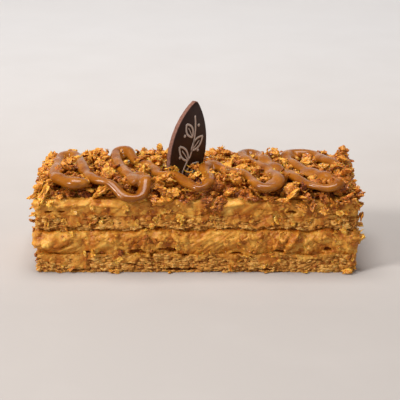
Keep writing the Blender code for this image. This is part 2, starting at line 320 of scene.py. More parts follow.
def add(tree, kind, inputs=None, **settings):
    """Adds a node; an input is linked where it is given a socket, and set otherwise."""
    node = tree.nodes.new(kind)
    for key, value in settings.items():
        setattr(node, key, value)
    for key, value in (inputs or {}).items():
        if isinstance(value, bpy.types.NodeSocket):
            tree.links.new(value, node.inputs[key])
        else:
            node.inputs[key].default_value = value
    return node


def speckle(tree, size, detail=3.0, stretch=(1.0, 1.0, 1.0)):
    """Noise from 0 to 1 in the object's own space; size is that of a bump, in mm."""
    place = add(tree, "ShaderNodeTexCoord").outputs["Object"]
    scaled = add(tree, "ShaderNodeMapping", {"Vector": place, "Scale": stretch})
    made = add(tree, "ShaderNodeTexNoise", {"Vector": scaled.outputs["Vector"]})
    made.inputs["Scale"].default_value = 1.0 / (size * MM)
    made.inputs["Detail"].default_value = detail
    return made.outputs["Fac"]


def trait(tree, name):
    """A number that the mesh carries on its vertices."""
    return add(tree, "ShaderNodeAttribute", attribute_name=name).outputs["Fac"]


def maths(tree, operation, first, second, third=None):
    """One sum with sockets or numbers."""
    given = {0: first, 1: second}
    if third is not None:
        given[2] = third
    return add(tree, "ShaderNodeMath", given, operation=operation).outputs[0]


def drift(tree, tone, amount, size, detail=3.0):
    """A tone that noise moves up and down by at most half the amount."""
    spread = maths(tree, "SUBTRACT", speckle(tree, size, detail), 0.5)
    return maths(tree, "MULTIPLY_ADD", spread, amount, tone)


def ramp(tree, factor, *stops):
    """A colour that changes with a factor; stops are (place, colour as seen)."""
    node = add(tree, "ShaderNodeValToRGB", {"Fac": factor})
    elements = node.color_ramp.elements
    while len(elements) < len(stops):
        elements.new(0.5)
    for element, (place, colour) in zip(elements, stops):
        element.position = place
        element.color = seen(*colour)
    return node.outputs["Color"]


def blend(tree, factor, first, second):
    """A mix of two colours."""
    node = add(tree, "ShaderNodeMix", data_type="RGBA")
    for socket, value in ((node.inputs["Factor"], factor), (node.inputs[6], first),
                          (node.inputs[7], second)):
        if isinstance(value, bpy.types.NodeSocket):
            tree.links.new(value, socket)
        else:
            socket.default_value = value
    return node.outputs[2]


def relief(tree, shader, height, strength, depth):
    """Fine bumps; depth is how high a full bump stands, in mm."""
    bump = add(tree, "ShaderNodeBump", {"Height": height, "Strength": strength,
                                        "Distance": depth * MM})
    tree.links.new(bump.outputs["Normal"], shader.inputs["Normal"])


def glow_inside(shader, weight, depth):
    """Light that enters and comes out warmer; depth is how far it goes, in mm."""
    shader.inputs["Subsurface Weight"].default_value = weight
    shader.inputs["Subsurface Radius"].default_value = (1.0, 0.45, 0.15)
    shader.inputs["Subsurface Scale"].default_value = depth * MM


# %% [markdown]
# ### Baked pastry and caramel cream
# The layers of this slice were cut with a wet knife, so cream is smeared over the pastry's
# leaves and crumbs stick to the cream. One graph serves both: it mixes a crisp leafy finish
# and a soft creamy one by the trait "cream", which the meshes below paint on themselves.

# %% The finish of the layers
LEAF_TONES = ((0.0, (96, 42, 4)), (0.3, (156, 92, 26)), (0.6, (198, 140, 62)),
              (1.0, (234, 190, 112)))
CREAM_TONES = ((0.0, (122, 56, 4)), (0.35, (174, 100, 22)), (0.65, (206, 144, 54)),
               (1.0, (230, 182, 90)))


def layer_finish(name):
    """Leafy pastry and smooth cream in one material, mixed by the trait named cream."""
    made, tree, shader = new_material(name)
    tone = trait(tree, "tone")
    leaf = ramp(tree, drift(tree, tone, 0.9, 0.8, 4.0), *LEAF_TONES)
    cream = ramp(tree, drift(tree, tone, 0.9, 3.5), *CREAM_TONES)
    smear = trait(tree, "cream")
    tree.links.new(blend(tree, smear, leaf, cream), shader.inputs["Base Color"])
    dull = maths(tree, "MULTIPLY_ADD", smear, -0.28, 0.7)
    tree.links.new(drift(tree, dull, 0.35, 1.6), shader.inputs["Roughness"])
    shader.inputs["Specular IOR Level"].default_value = 0.25
    glow_inside(shader, 0.25, 1.2)
    fine = maths(tree, "ADD", speckle(tree, 0.35), speckle(tree, 0.9, 4.0))
    relief(tree, shader, fine, 0.7, 0.18)
    return made


pastry_finish = layer_finish("baked_pastry")
cream_finish = layer_finish("caramel_cream")


# %% [markdown]
# ## Hollows and the groove
# A few hollows are left where the lower cream doesn't quite reach the bottom pastry; they are sunk in, and
# their tone is darkened as painted shade.
# They cross from one layer into the next, so both layers ask the same function. Those on
# the front are listed, and noise makes more of them on the other sides.

# %% Hollows
FRONT_HOLLOWS = (   # along, height, half length, half height (mm)
    (-22.6, 8.4, 2.6, 0.95), (-20.2, 7.5, 1.6, 0.6), (-16.9, 6.8, 0.7, 0.9),
    (-11.0, 8.9, 3.4, 0.5), (-9.3, 8.2, 1.8, 0.75), (-4.2, 6.9, 1.3, 0.6),
    (-40.0, 8.2, 1.5, 0.5), (15.5, 7.3, 2.6, 0.4), (30.5, 8.1, 2.2, 0.55),
    (49.2, 8.9, 1.3, 0.8), (-35.0, 21.2, 1.3, 0.5), (35.5, 23.9, 1.8, 0.55),
    (-55.0, 24.2, 1.4, 0.45), (-50.0, 24.3, 1.2, 0.4), (-6.0, 1.2, 7.0, 0.5),
    (-46.0, 1.0, 3.5, 0.4), (26.0, 1.2, 3.0, 0.4),
)


CARAMEL_STAINS = (  # along, height, half length, half height (mm): where caramel ran down
    (5.6, 25.0, 5.2, 6.5), (-16.8, 22.0, 2.6, 4.0), (-40.5, 21.0, 2.2, 2.2), (51.5, 25.5, 5.0, 2.6),
)


def stained(points):
    """1 where caramel from above has soaked into the front, 0 elsewhere."""
    on_front = points[..., 1] < BACK - HALF_DEPTH + 1.5
    wobble = 0.4 * noise(points / 1.6, 19)
    stain = np.zeros(points.shape[:-1])
    for along, height, half_length, half_height in CARAMEL_STAINS:
        gap = np.hypot((points[..., 0] - along) / half_length,
                       (points[..., 2] - height) / half_height)
        stain = np.maximum(stain, 1 - step(0.5, 1.1, gap + wobble))
    return stain * on_front


def hollow(points):
    """1 inside a hollow, 0 outside, at points of the layers' sides."""
    on_front = points[..., 1] < BACK - HALF_DEPTH + 1.5
    by_noise = step(0.5, 0.66, noise(points / (5.0, 5.0, 1.3), 17))
    by_noise *= 1 - step(1.5, 3.5, np.abs(points[..., 2] - 8.0))
    deep = np.where(on_front, 0.0, by_noise)
    wobble = 0.35 * noise(points / 0.9, 18)
    for along, height, half_length, half_height in FRONT_HOLLOWS:
        gap = np.hypot((points[..., 0] - along) / half_length,
                       (points[..., 2] - height) / half_height)
        deep = np.maximum(deep, np.where(on_front, 1 - step(0.7, 1.15, gap + wobble), 0.0))
    return deep


# %% [markdown]
# ## Flaky pastry
# Puff pastry is hundreds of leaves of dough that steam has blown apart. At its cut side the
# leaves are crushed into broken bits that lie flat, with dark creases between them, and
# only here and there does a clean edge of leaves show. Separate sheets would cost a great
# many faces, so the side is one skin: flat bits from cellular noise at two sizes, fine
# lines for the leaves, and cream smeared over part of it.

# %% Pastry layers
def leaf_lines(points, pitch, seed):
    """Waves with the pitch of the leaves, swaying along the side."""
    sway = 1.6 * noise(points / (14.0, 14.0, 6.0), seed) + 0.7 * noise(points / (3.0, 3.0, 2.0), seed + 1)
    return np.sin(2 * math.pi * (points[..., 2] / pitch + sway))


def pastry_relief(points):
    """(how far the broken leaves stand out, how light they are) at each point; the creases and the gaps
    between leaf lines are darkened as painted shade.
    """
    bent = points.copy()
    bent[..., 2] += 0.6 * noise(points / (6.0, 6.0, 3.0), 61)
    large_crease, large = bits(bent, (3.4, 3.4, 1.5), 62)
    small_crease, small = bits(bent, (1.3, 1.3, 0.55), 63)
    leafy = step(-0.2, 0.3, noise(points / (12.0, 12.0, 9.0), 64))
    lines = leaf_lines(points, 0.62, 65)
    out = 1.0 * (large - 0.5) - 0.5 * (1 - step(0.0, 0.3, large_crease))
    out += 0.4 * (small - 0.5) - 0.2 * (1 - step(0.0, 0.3, small_crease))
    out += 0.2 * lines * leafy + 0.25 * rough(points, 2.0, 2, 66)
    # painted shade: the troughs of the leaf lines and the creases between bits are darker
    light = 0.56 + 0.26 * (large - 0.5) + 0.34 * (small - 0.5) + 0.09 * lines * leafy
    light -= 0.12 * (1 - step(0.0, 0.2, large_crease))
    return out, light


def smeared(points, bias):
    """1 where cream covers the leaves."""
    field = rough(points / (1.0, 1.0, 0.7), 10.0, 3, 21)
    return step(-0.08, 0.22, field + bias)


def cream_relief(points):
    """(how far smeared cream stands out, how light it is) at each point."""
    crease, number = bits(points, 1.7, 34)
    grain = 0.35 * (number - 0.5) - 0.15 * (1 - step(0.0, 0.3, crease))
    out = 0.25 + 0.45 * rough(points, 4.5, 3, 31) + grain
    return out, 0.5 + 0.26 * rough(points, 5.0, 3, 33) + 0.3 * (number - 0.5)


def pastry_layer(name, node, bias_at, lip):
    """A pastry, smeared where the bias says; lip is how far its lowest leaves overhang."""
    low, high = levels(node)

    def push(points, share):
        leaves, _ = pastry_relief(points)
        cream, _ = cream_relief(points)
        cover = smeared(points, bias_at(share))
        out = leaves * (1 - cover) + cream * cover
        ragged = 0.1 + 0.1 * noise(points * (0.45, 0.45, 0.0), 71) + 0.06 * noise(points * (1.4, 1.4, 0.0), 72)
        out += lip * (1 - step(0.2, 0.6, share)) - 2.2 * lip * (1 - step(0.0, 0.08, share - ragged))
        return out - 2.0 * hollow(points)

    def traits(points, share):
        _, leaves = pastry_relief(points)
        _, cream = cream_relief(points)
        cover = smeared(points, bias_at(share))
        # painted shade: the hollows are darker; the caramel stains are real
        tone = leaves * (1 - cover) + cream * cover - 0.4 * hollow(points) - 0.16 * stained(points)
        return {"tone": tone, "cream": cover * 0.85}

    made = layer_skin(name, low, high, 0.18, push, traits)
    made.data.materials.append(pastry_finish)
    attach(made, "root")
    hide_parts(node)
    return made


layers = [pastry_layer("pastry_bottom_leaves", "pastry_bottom", lambda share: -0.75 + 1.1 * share, 0.15),
          pastry_layer("pastry_middle_leaves", "pastry_middle",
                       lambda share: -0.7 + 1.1 * share, 0.65)]


# %% [markdown]
# ## Caramel cream
# The cream is stiff enough to stand but soft enough to bulge and smear. Its side is pushed
# out most a little above half its height, by more in some places than in others. On top go
# lumps, ridges along the slanting way that the knife went, and bits of pastry under the
# surface. Its top edge draws in below the pastry, which leaves a groove; the groove's tone is
# also darkened as painted shade, and the upper cream's top band is lightened as painted light.

# %% Cream layers
def strokes(points, seed):
    """Slanting ridges: folded noise, stretched along the way the knife went."""
    round_the_side = points[..., 0] + points[..., 1]
    slanted = round_the_side - 1.3 * points[..., 2] + 2.0 * noise(points / 9.0, seed + 2)
    across = np.stack([slanted / 3.4, points[..., 2] / 11.0, points[..., 1] / 15.0], axis=-1)
    return 1 - 2 * np.abs(noise(across, seed)) + 0.5 * noise(across * 2.3, seed + 1)


def smooth_patch(points):
    """1 where the knife left the cream smooth, and 0 where bits of pastry show in it."""
    return step(-0.1, 0.35, noise(points / 13.0, 49) + 0.3 * noise(points / 4.0, 50))


def along_side(points, size, seed):
    """Noise that changes only along the side, not with height."""
    return noise(points * (1.0, 1.0, 0.0) / size, seed)


CREAM_FOLDS = (     # along, height, half length, half height, slant in degrees, out (mm)
    (-53.5, 11.6, 7.5, 3.4, 14, 1.3), (-50.5, 9.0, 5.0, 1.3, 20, 0.9), (-44.0, 13.6, 4.0, 1.4, -20, 0.6),
    (35.6, 12.0, 5.4, 1.7, 60, 2.0), (31.4, 11.4, 4.4, 1.3, 50, 1.4), (42.5, 13.6, 7.0, 1.8, 8, 0.6),
    (-12.0, 13.4, 6.0, 1.6, 6, 0.6), (10.0, 12.6, 7.0, 2.0, -8, 0.7), (22.0, 14.0, 5.0, 1.3, 12, 0.6),
    (-31.0, 12.6, 4.6, 1.8, -14, 0.6), (-47.0, 26.4, 7.0, 1.1, 4, 0.7), (-34.0, 26.6, 6.0, 1.2, -3, 0.8),
    (13.5, 26.8, 5.0, 1.3, 6, 0.9), (27.0, 25.2, 5.0, 1.4, -10, 0.6), (52.0, 24.0, 5.0, 1.3, 12, 0.6),
)


def folds(points):
    """Folds that the knife left on the front: slanting lumps with one steep side."""
    on_front = points[..., 1] < BACK - HALF_DEPTH + 1.5
    out = np.zeros(points.shape[:-1])
    for along, height, half_length, half_height, slant, most in CREAM_FOLDS:
        cos, sin = math.cos(math.radians(slant)), math.sin(math.radians(slant))
        x, z = points[..., 0] - along, points[..., 2] - height
        run, rise = (x * cos + z * sin) / half_length, (z * cos - x * sin) / half_height
        rise = np.where(rise < 0, rise * 1.8, rise)
        out += most * np.clip(1 - run ** 2 - rise ** 2, 0, 1) ** 0.7 * on_front
    return out


def cream_layer(name, node, bulge, lump, pitch, tuck=0.0, waist=0.0, shoulder=0.0, rounding=0.0,
                painted_top_light=0.0, lift=0.0):
    """A cream: bulge is (least, most) in mm; tuck, waist and shoulder draw it in again; the top light setting
    paints its upper side lighter as painted light.
    """
    low, high = levels(node)
    high += lift
    least, most = bulge

    def push(points, share):
        fullness = np.clip(0.5 + 0.5 * rough(points, 17.0, 2, 41), 0, 1)
        swell = (least + (most - least) * fullness) * np.sin(math.pi * share ** 1.5)
        narrow = np.clip(0.5 + 1.2 * along_side(points, 8.0, 52), 0.0, 1.3)
        waist_top = 0.4 + 0.12 * along_side(points, 7.0, 53)
        swell -= waist * narrow * (1 - step(0.0, waist_top, share))
        swell -= shoulder * step(0.62, 1.0, share) ** 2
        groove = tuck * np.clip(0.8 + 0.8 * along_side(points, 9.0, 54), 0.15, 1.3)
        groove = groove * step(0.88, 0.96, share + 0.03 * along_side(points, 3.0, 56))
        smooth = smooth_patch(points)
        lumpy = lump * rough(points, 5.0, 3, 43) + 0.6 * lump * smooth * strokes(points, 45)
        crease, number = bits(points, 2.4, 47)
        grain = 0.9 * lump * (number - 0.5) - 0.4 * lump * (1 - step(0.0, 0.3, crease))
        small_crease, small = bits(points, 1.1, 48)
        grain += 0.35 * lump * (small - 0.5) - 0.15 * lump * (1 - step(0.0, 0.3, small_crease))
        lumpy += grain * (1 - 0.9 * smooth)
        return swell + lumpy - groove - 2.0 * hollow(points) + folds(points)

    def traits(points, share):
        smooth = smooth_patch(points)
        _, number = bits(points, 2.4, 47)
        _, small = bits(points, 1.1, 48)
        tone = 0.52 + 0.14 * smooth * strokes(points, 45) + 0.18 * rough(points, 5.0, 3, 51)
        # painted light: the upper side of the cream is lighter, as if lit from above
        tone += painted_top_light * step(0.55, 0.85, share)
        tone += (1 - smooth) * (0.2 * (number - 0.5) + 0.22 * (small - 0.5))
        # painted shade: the hollows and the groove under the pastry are darker; the caramel stains are real
        tone -= 0.4 * hollow(points) + 0.16 * stained(points) + 0.2 * tuck * step(0.9, 0.97, share)
        return {"tone": tone, "cream": np.ones(share.shape)}

    made = layer_skin(name, low, high, pitch, push, traits, rounding)
    made.data.materials.append(cream_finish)
    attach(made, "root")
    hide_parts(node)
    return made


layers.append(cream_layer("cream_lower_soft", "cream_lower", (0.7, 1.7), 0.7, 0.25,
                          tuck=1.3, waist=1.5))
layers.append(cream_layer("cream_top_soft", "cream_top", (0.3, 0.9), 0.4, 0.27, shoulder=0.8, rounding=1.1,
                          painted_top_light=0.06, lift=1.1))


# %% [markdown]
# ## The run of the caramel
# The rope of caramel is piped to and fro over the crumbs. Its run is a list of given points,
# the same ones that the frame uses: how far along and across, and how
# far it hangs below the top of the heap. A smooth curve goes through them. The run is made
# before the crumbs because they have to leave room for it.

# %% Rope run
ROPE_RADIUS = 1.75
ROPE_ROUTE = (
    (-39.5, -20.3, 0.0), (-46.5, -19.8, 0.0), (-52.2, -14.5, 0.0), (-53.2, -3.0, 0.0),
    (-53.4, 8.5, 0.0), (-51.8, 15.4, 0.0), (-48.4, 16.6, 0.0), (-45.6, 10.0, 0.0),
    (-42.8, -4.0, 0.0),
    (-38.4, -15.6, 0.0), (-31.6, -20.2, 0.2), (-26.2, -24.6, 4.2), (-20.4, -24.5, 4.0),
    (-18.7, -18.5, -0.6), (-19.4, -12.6, 0.0), (-22.4, -11.6, 0.0), (-22.8, -17.2, -0.4),
    (-23.0, -20.6, 0.1), (-24.6, -15.0, -0.6), (-26.6, -8.0, -0.2), (-30.6, 6.0, 0.0),
    (-31.4, 16.0, -1.6),
    (-27.8, 18.2, -1.8), (-23.4, 9.5, 0.0), (-17.2, 0.6, 0.0), (-13.8, -9.6, 0.0),
    (-8.2, -12.2, 0.0), (-3.6, -18.8, 0.2), (0.6, -23.4, 1.0), (4.8, -20.0, 0.0),
    (4.6, -11.5, 0.0), (2.9, -3.0, 0.0), (6.4, 3.4, 0.0), (10.2, -2.8, 0.0),
    (16.4, -7.0, 0.0), (20.6, -14.5, 0.0), (22.0, -20.4, 0.0), (24.2, -22.6, 0.6),
    (28.6, -22.8, 0.6), (30.6, -20.4, 0.0), (30.2, -14.0, -0.4), (26.2, -2.0, 0.0),
    (18.8, 10.0, 0.0), (18.6, 18.2, 0.0),
    (23.8, 17.0, 0.0), (27.2, 5.0, -0.8), (33.6, -8.0, 0.0), (42.2, -20.0, 0.2),
    (49.6, -23.2, 0.8), (52.8, -20.6, 0.2), (46.2, -10.5, 0.0), (38.8, 2.2, 0.0),
    (35.0, 14.0, 0.0), (37.6, 19.2, -0.4), (45.6, 17.0, 0.0), (50.0, 7.0, 0.0),
    (55.2, -0.8, 0.0), (57.4, -4.2, 0.0),
)


def heap_height(x, y):
    """The smooth top of the crumbs at a place about the slice's middle."""
    def fall(value, limit, power):
        return (1 - np.minimum(np.abs(value) / limit, 1.0) ** power) ** (1 / power)
    return CRUMB_TOP - 1.7 * (1 - fall(x, 61.5, 12) * fall(y, 24.0, 8))


def rope_radius(share):
    """Thicker where the piping starts, and slightly uneven after that."""
    return ROPE_RADIUS * (1 + 0.3 * np.exp(-22 * share) + 0.08 * np.sin(61 * share))


def smooth_run(points, spacing):
    """Points at about even spacing on a smooth curve through the given ones."""
    ends = np.concatenate([[2 * points[0] - points[1]], points, [2 * points[-1] - points[-2]]])
    run = [points[0]]
    for before, start, end, after in zip(ends, ends[1:], ends[2:], ends[3:]):
        pieces = max(1, round(float(np.linalg.norm(end - start)) / spacing))
        for t in np.arange(1, pieces + 1) / pieces:
            run.append(0.5 * (2 * start + (end - before) * t
                              + (2 * before - 5 * start + 4 * end - after) * t ** 2
                              + (3 * start - before - 3 * end + after) * t ** 3))
    return np.array(run)


def softened(run, passes):
    """The run with its tightest bends eased, as warm caramel eases them."""
    for _ in range(passes):
        run[1:-1] = (run[:-2] + 2 * run[1:-1] + run[2:]) / 4
    return run


route = np.array(ROPE_ROUTE)
shares = np.arange(len(route)) / len(route)
rope_z = heap_height(route[:, 0], np.maximum(route[:, 1], -21.5)) + rope_radius(shares) + 0.6
rope_run = smooth_run(np.stack([route[:, 0], route[:, 1], rope_z - route[:, 2]], axis=1), 0.6)
rope_run = softened(rope_run, 8)
rope_run[:, 2] += 0.8 * noise(rope_run * (0.11, 0.11, 0.0), 90) - 0.9
rope_run[:, 2] -= 0.7 * np.exp(-np.arange(len(rope_run)) / 18)
shares = np.arange(len(rope_run)) / len(rope_run)
rope_radii = rope_radius(shares)
rope_radii *= 1.04 + 0.16 * np.exp(-22 * shares) + 0.3 * noise(rope_run * (0.17, 0.17, 0.0), 91)
rope_length = np.linalg.norm(np.diff(rope_run, axis=0), axis=1).sum()
print("the rope runs for", round(rope_length), "mm")


# %% [markdown]
# ## Crumbs
# The heap is made of broken, caramelised pastry. Clusters of leaves that still hang
# together give it its hills and its dark pits. Single leaves, curls, chunks and dust lie
# on them and between them. Each kind has a few patterns, built once by code, and every
# crumb is a turned, stretched copy of one. All copies of a kind are joined into one mesh.

# %% Crumb patterns
dice = np.random.default_rng(20)


def lump_pattern(detail):
    """A lump with broken flat sides, from an ico sphere: places, faces and tones."""
    bm = bmesh.new()
    bmesh.ops.create_icosphere(bm, subdivisions=detail, radius=1.0)
    places = np.array([vertex.co[:] for vertex in bm.verts])
    faces = np.array([[vertex.index for vertex in face.verts] for face in bm.faces])
    bm.free()
    offset = dice.uniform(-50, 50, 3)
    size = 1 + 0.4 * noise(places * 1.3 + offset) + 0.25 * noise(places * 3.1 + offset)
    tones = 0.15 * noise(places * 1.8 + offset)
    places = places * size[:, None]
    for _ in range(6):
        way = dice.normal(size=3)
        way /= np.linalg.norm(way)
        over = np.maximum(places @ way - dice.uniform(0.4, 0.7), 0)
        places = places - over[:, None] * way
    return places * (1.0, 0.8, 0.65), faces, tones


def leaf_pattern(columns, rows, narrow, bend, thickness=0.07):
    """A thin bent leaf of pastry with a ragged outline, closed all round."""
    u, v = np.meshgrid(np.linspace(-1, 1, columns), np.linspace(-1, 1, rows), indexing="ij")
    offset = dice.uniform(-50, 50, 3)
    flat = np.stack([u, v, np.zeros_like(u)], axis=-1)
    ragged = 1 + 0.45 * noise(flat * 1.9 + offset)
    x = u * np.sqrt(1 - 0.4 * v ** 2) * ragged
    y = v * np.sqrt(1 - 0.4 * u ** 2) * ragged * narrow
    z = bend * (x ** 2 - 0.4) + 0.25 * noise(flat * 1.5 + offset + 9) + 0.3 * bend * x * y
    thick = thickness * (1 - 0.6 * np.maximum(np.abs(u), np.abs(v)) ** 3)
    top = np.stack([x, y, z + thick], axis=-1).reshape(-1, 3)
    under = np.stack([x, y, z - thick], axis=-1).reshape(-1, 3)
    index = np.arange(columns * rows).reshape(columns, rows)
    quads = np.stack([index[:-1, :-1], index[1:, :-1], index[1:, 1:], index[:-1, 1:]], axis=-1)
    quads = quads.reshape(-1, 4)
    rim = np.concatenate([index[:, 0], index[-1, 1:], index[-2::-1, -1], index[0, -2:0:-1]])
    after = np.roll(rim, -1)
    count = columns * rows
    side = np.stack([rim, rim + count, after + count, after], axis=1)
    every = np.concatenate([quads, quads[:, ::-1] + count, side])
    triangles = np.concatenate([every[:, [0, 1, 2]], every[:, [0, 2, 3]]])
    # painted light: lighter towards the rim, as light that shows through the thin edge; the rest is random
    # tone
    tones = 0.12 * np.maximum(np.abs(u), np.abs(v)).ravel() + 0.15 * noise(flat * 2.5 + offset).ravel()
    return np.concatenate([top, under]), triangles, np.tile(tones, 2)


def turn(axis_way, angle):
    """A rotation as a numpy array."""
    return np.array(Matrix.Rotation(angle, 3, Vector(axis_way)))


def cluster_pattern():
    """Grains of pastry glued into one craggy lump; the creases between them are sunk in and darkened as
    painted shade.
    """
    places, faces, _ = lump_pattern(4)
    offset = dice.uniform(-50, 50, 3)
    large_crease, large = bits(places + offset, (1.2, 1.2, 0.42), 5)
    small_crease, small = bits(places + offset, (0.5, 0.5, 0.22), 6)
    large_gap = 1 - step(0.0, 0.3, large_crease)
    small_gap = 1 - step(0.0, 0.3, small_crease)
    ways = places / np.linalg.norm(places, axis=1)[:, None]
    out = 0.4 * (large - 0.4) - 0.16 * large_gap + 0.26 * (small - 0.4) - 0.12 * small_gap
    # painted shade: the tone is darker in the creases (the gap masks)
    tones = 0.2 * (large - 0.5) + 0.26 * (small - 0.5) - 0.15 * large_gap - 0.1 * small_gap
    return places + ways * out[:, None], faces, tones


cluster_patterns = [cluster_pattern() for _ in range(12)]
leaf_patterns = [leaf_pattern(7, 5, dice.uniform(0.6, 0.95), dice.uniform(0.2, 0.8), 0.16)
                 for _ in range(10)]
curl_patterns = [leaf_pattern(9, 3, 0.4, dice.uniform(0.6, 1.2), 0.15) for _ in range(6)]
chunk_patterns = [lump_pattern(2) for _ in range(10)]
dust_patterns = [lump_pattern(1) for _ in range(6)]
print("a cluster has", len(cluster_patterns[0][1]), "triangles")


# %% [markdown]
# ### The core of the heap
# Under the crumbs lies a lower core, with hills and pits of its own. It closes the
# small gaps that are left between the crumbs, and its tone, a little darker than theirs and
# darker still in its creases, is painted shade in those gaps.

# %% Heap surface
HEAP_PITCH = 0.5
heap_x = np.arange(-61.0, 61.01, HEAP_PITCH)
heap_y = np.arange(-23.5, 23.51, HEAP_PITCH)


BARE_STRETCHES = (      # middle, half length, how deep (mm): where the cream's top shows
    (-34.0, 15.0, 3.4), (14.0, 6.0, 3.0), (-2.0, 3.0, 1.2), (26.5, 6.0, 2.6),
)


def setback(x):
    """How far the crumbs stay behind the cream's front edge, in mm, along the slice."""
    bare = 0.8 + 1.2 * noise(np.stack([x / 9.0, x * 0 + 3.1, x * 0], axis=-1), 81)
    for middle, half, depth in BARE_STRETCHES:
        bare = np.maximum(bare, depth * (1 - step(0.75, 1.2, np.abs(x - middle) / half)))
    return np.maximum(bare, 0.0)


def core_top(x, y):
    """The top of the core: lower than the heap, hilly, and down to the cream at its rim."""
    flat = np.stack([x, y, x * 0], axis=-1)
    top = heap_height(x, y) - 2.0 + 1.1 * rough(flat, 9.0, 3, 82)
    inside = np.minimum(HALF_LENGTH - 0.6 - np.abs(x), HALF_DEPTH - 0.6 - y)
    inside = np.minimum(inside, y + HALF_DEPTH - 0.6 - setback(x))
    return np.where(inside > 0, CREAM_EDGE - 0.6 + (top - CREAM_EDGE + 0.6) * step(0.0, 2.2, inside),
                    CREAM_EDGE - 0.6)


CORE_PITCH = 0.52      # mm from one point of the mound to the next


def crumb_core():
    """A lumpy mound, a little smaller than the heap in the frame."""
    x, y = np.meshgrid(np.arange(-60.4, 60.5, CORE_PITCH), np.arange(-22.8, 22.9, CORE_PITCH),
                       indexing="ij")
    flat = np.stack([x, y, x * 0], axis=-1)
    large_crease, large = bits(flat, 3.4, 63)
    small_crease, small = bits(flat, 1.4, 64)
    gaps = 1 - step(0.0, 0.3, np.stack([large_crease, small_crease]))
    top = core_top(x, y) + 1.2 * (large - 0.5) + 0.6 * (small - 0.5) - 0.6 * gaps[0] - 0.3 * gaps[1]
    outside = (np.abs(x) > HALF_LENGTH - 0.6) | (np.abs(y) > HALF_DEPTH - 0.6)
    top = np.where(outside, CREAM_EDGE - 1.5, top)
    x = np.clip(x, 0.8 - HALF_LENGTH, HALF_LENGTH - 0.8)
    y = np.clip(y, 0.8 - HALF_DEPTH, HALF_DEPTH - 0.8)
    places = np.stack([x, y + BACK, top], axis=-1).reshape(-1, 3)
    index = np.arange(x.size).reshape(x.shape)
    quads = np.stack([index[:-1, :-1], index[1:, :-1], index[1:, 1:], index[:-1, 1:]], axis=-1)
    faces = quads.reshape(-1, 4).tolist()
    border = np.concatenate([index[:, 0], index[-1, 1:], index[-2::-1, -1], index[0, -2:0:-1]])
    faces.append(border[::-1].tolist())
    # painted shade: a lower base tone than the crumbs', and darker in the creases (gaps)
    toast = 0.48 + 0.3 * (large - 0.5) + 0.25 * (small - 0.5) - 0.15 * gaps[0] - 0.1 * gaps[1]
    return make_mesh("crumb_core", places, faces, {"toast": toast.ravel()})


# %% [markdown]
# ### Letting the crumbs settle
# Crumbs that are placed at random heights either float or vanish. Here they are laid one
# after another, the big ones first, and a grid keeps the height of what already lies
# there. Each crumb comes to rest on that height, sinks in a little, and raises the grid
# under itself. The plaque keeps its room, and so does the rope, except along stretches
# where crumbs may cover it.

# %% Settle
PLAQUE_FOOT = ((-11.4, -6.9), (1.8, 7.2))     # the plaque's line where it stands in the crumbs
grid_x, grid_y = np.meshgrid(heap_x, heap_y, indexing="ij")
pile = core_top(grid_x, grid_y)
rope_top = np.full(grid_x.shape, 1e9)          # no crumb may reach above this height
rope_free = noise(rope_run * (0.11, 0.11, 0.0), 92) < 0.3      # elsewhere crumbs may cover it
for along, across, height in rope_run[rope_free | (rope_run[:, 1] < -17)]:
    below_rope = np.hypot(grid_x - along, grid_y - across) < 1.1
    rope_top[below_rope] = np.minimum(rope_top[below_rope], height + 0.5)
plaque_start, plaque_end = (np.array(end) for end in PLAQUE_FOOT)
plaque_run = plaque_end - plaque_start


def plaque_gap(place):
    """Distance to the line where the plaque stands in the crumbs."""
    share = np.clip((place[:2] - plaque_start) @ plaque_run / (plaque_run @ plaque_run), 0, 1)
    return np.linalg.norm(place[:2] - plaque_start - share * plaque_run)


def settle(place, size, thickness, sink):
    """The resting place of a crumb, or None if there is no room for it."""
    if plaque_gap(place) < 1.1 + 0.5 * size:
        return None
    cut = slice(*np.searchsorted(heap_x, (place[0] - size, place[0] + size))), \
        slice(*np.searchsorted(heap_y, (place[1] - size, place[1] + size)))
    away = np.hypot(grid_x[cut] - place[0], grid_y[cut] - place[1]) / size
    covered = away < 1
    if not covered.any():
        return None
    rest = np.percentile(pile[cut][covered], 60)
    middle = rest + thickness * (1 - 2 * sink)
    ceiling = rope_top[cut][away < 0.75].min(initial=1e9) - 0.6 * thickness
    if middle > ceiling:
        middle = ceiling
    if middle < rest - 1.6 * thickness:
        return None
    dome = middle + thickness * np.sqrt(np.maximum(1 - away ** 2, 0))
    pile[cut] = np.where(covered, np.maximum(pile[cut], dome), pile[cut])
    return np.array([place[0], place[1], middle])


# %% [markdown]
# ### The finish of the crumbs
# Caramelised pastry runs from pale gold to a bitter brown, even within one crumb, and the
# sugar on it shines. The colour starts from each crumb's toast, which also carries painted
# shade in the creases and in the shaded spots of the heap, drifts with noise, and is lighter
# towards the thin edges, as painted light that shines through them. A thin clear coat is
# the glaze of melted sugar.

# %% Crumb material
CRUMB_TONES = ((0.0, (100, 42, 6)), (0.25, (150, 78, 14)), (0.5, (188, 114, 30)),
               (0.75, (214, 148, 48)), (1.0, (234, 178, 74)))


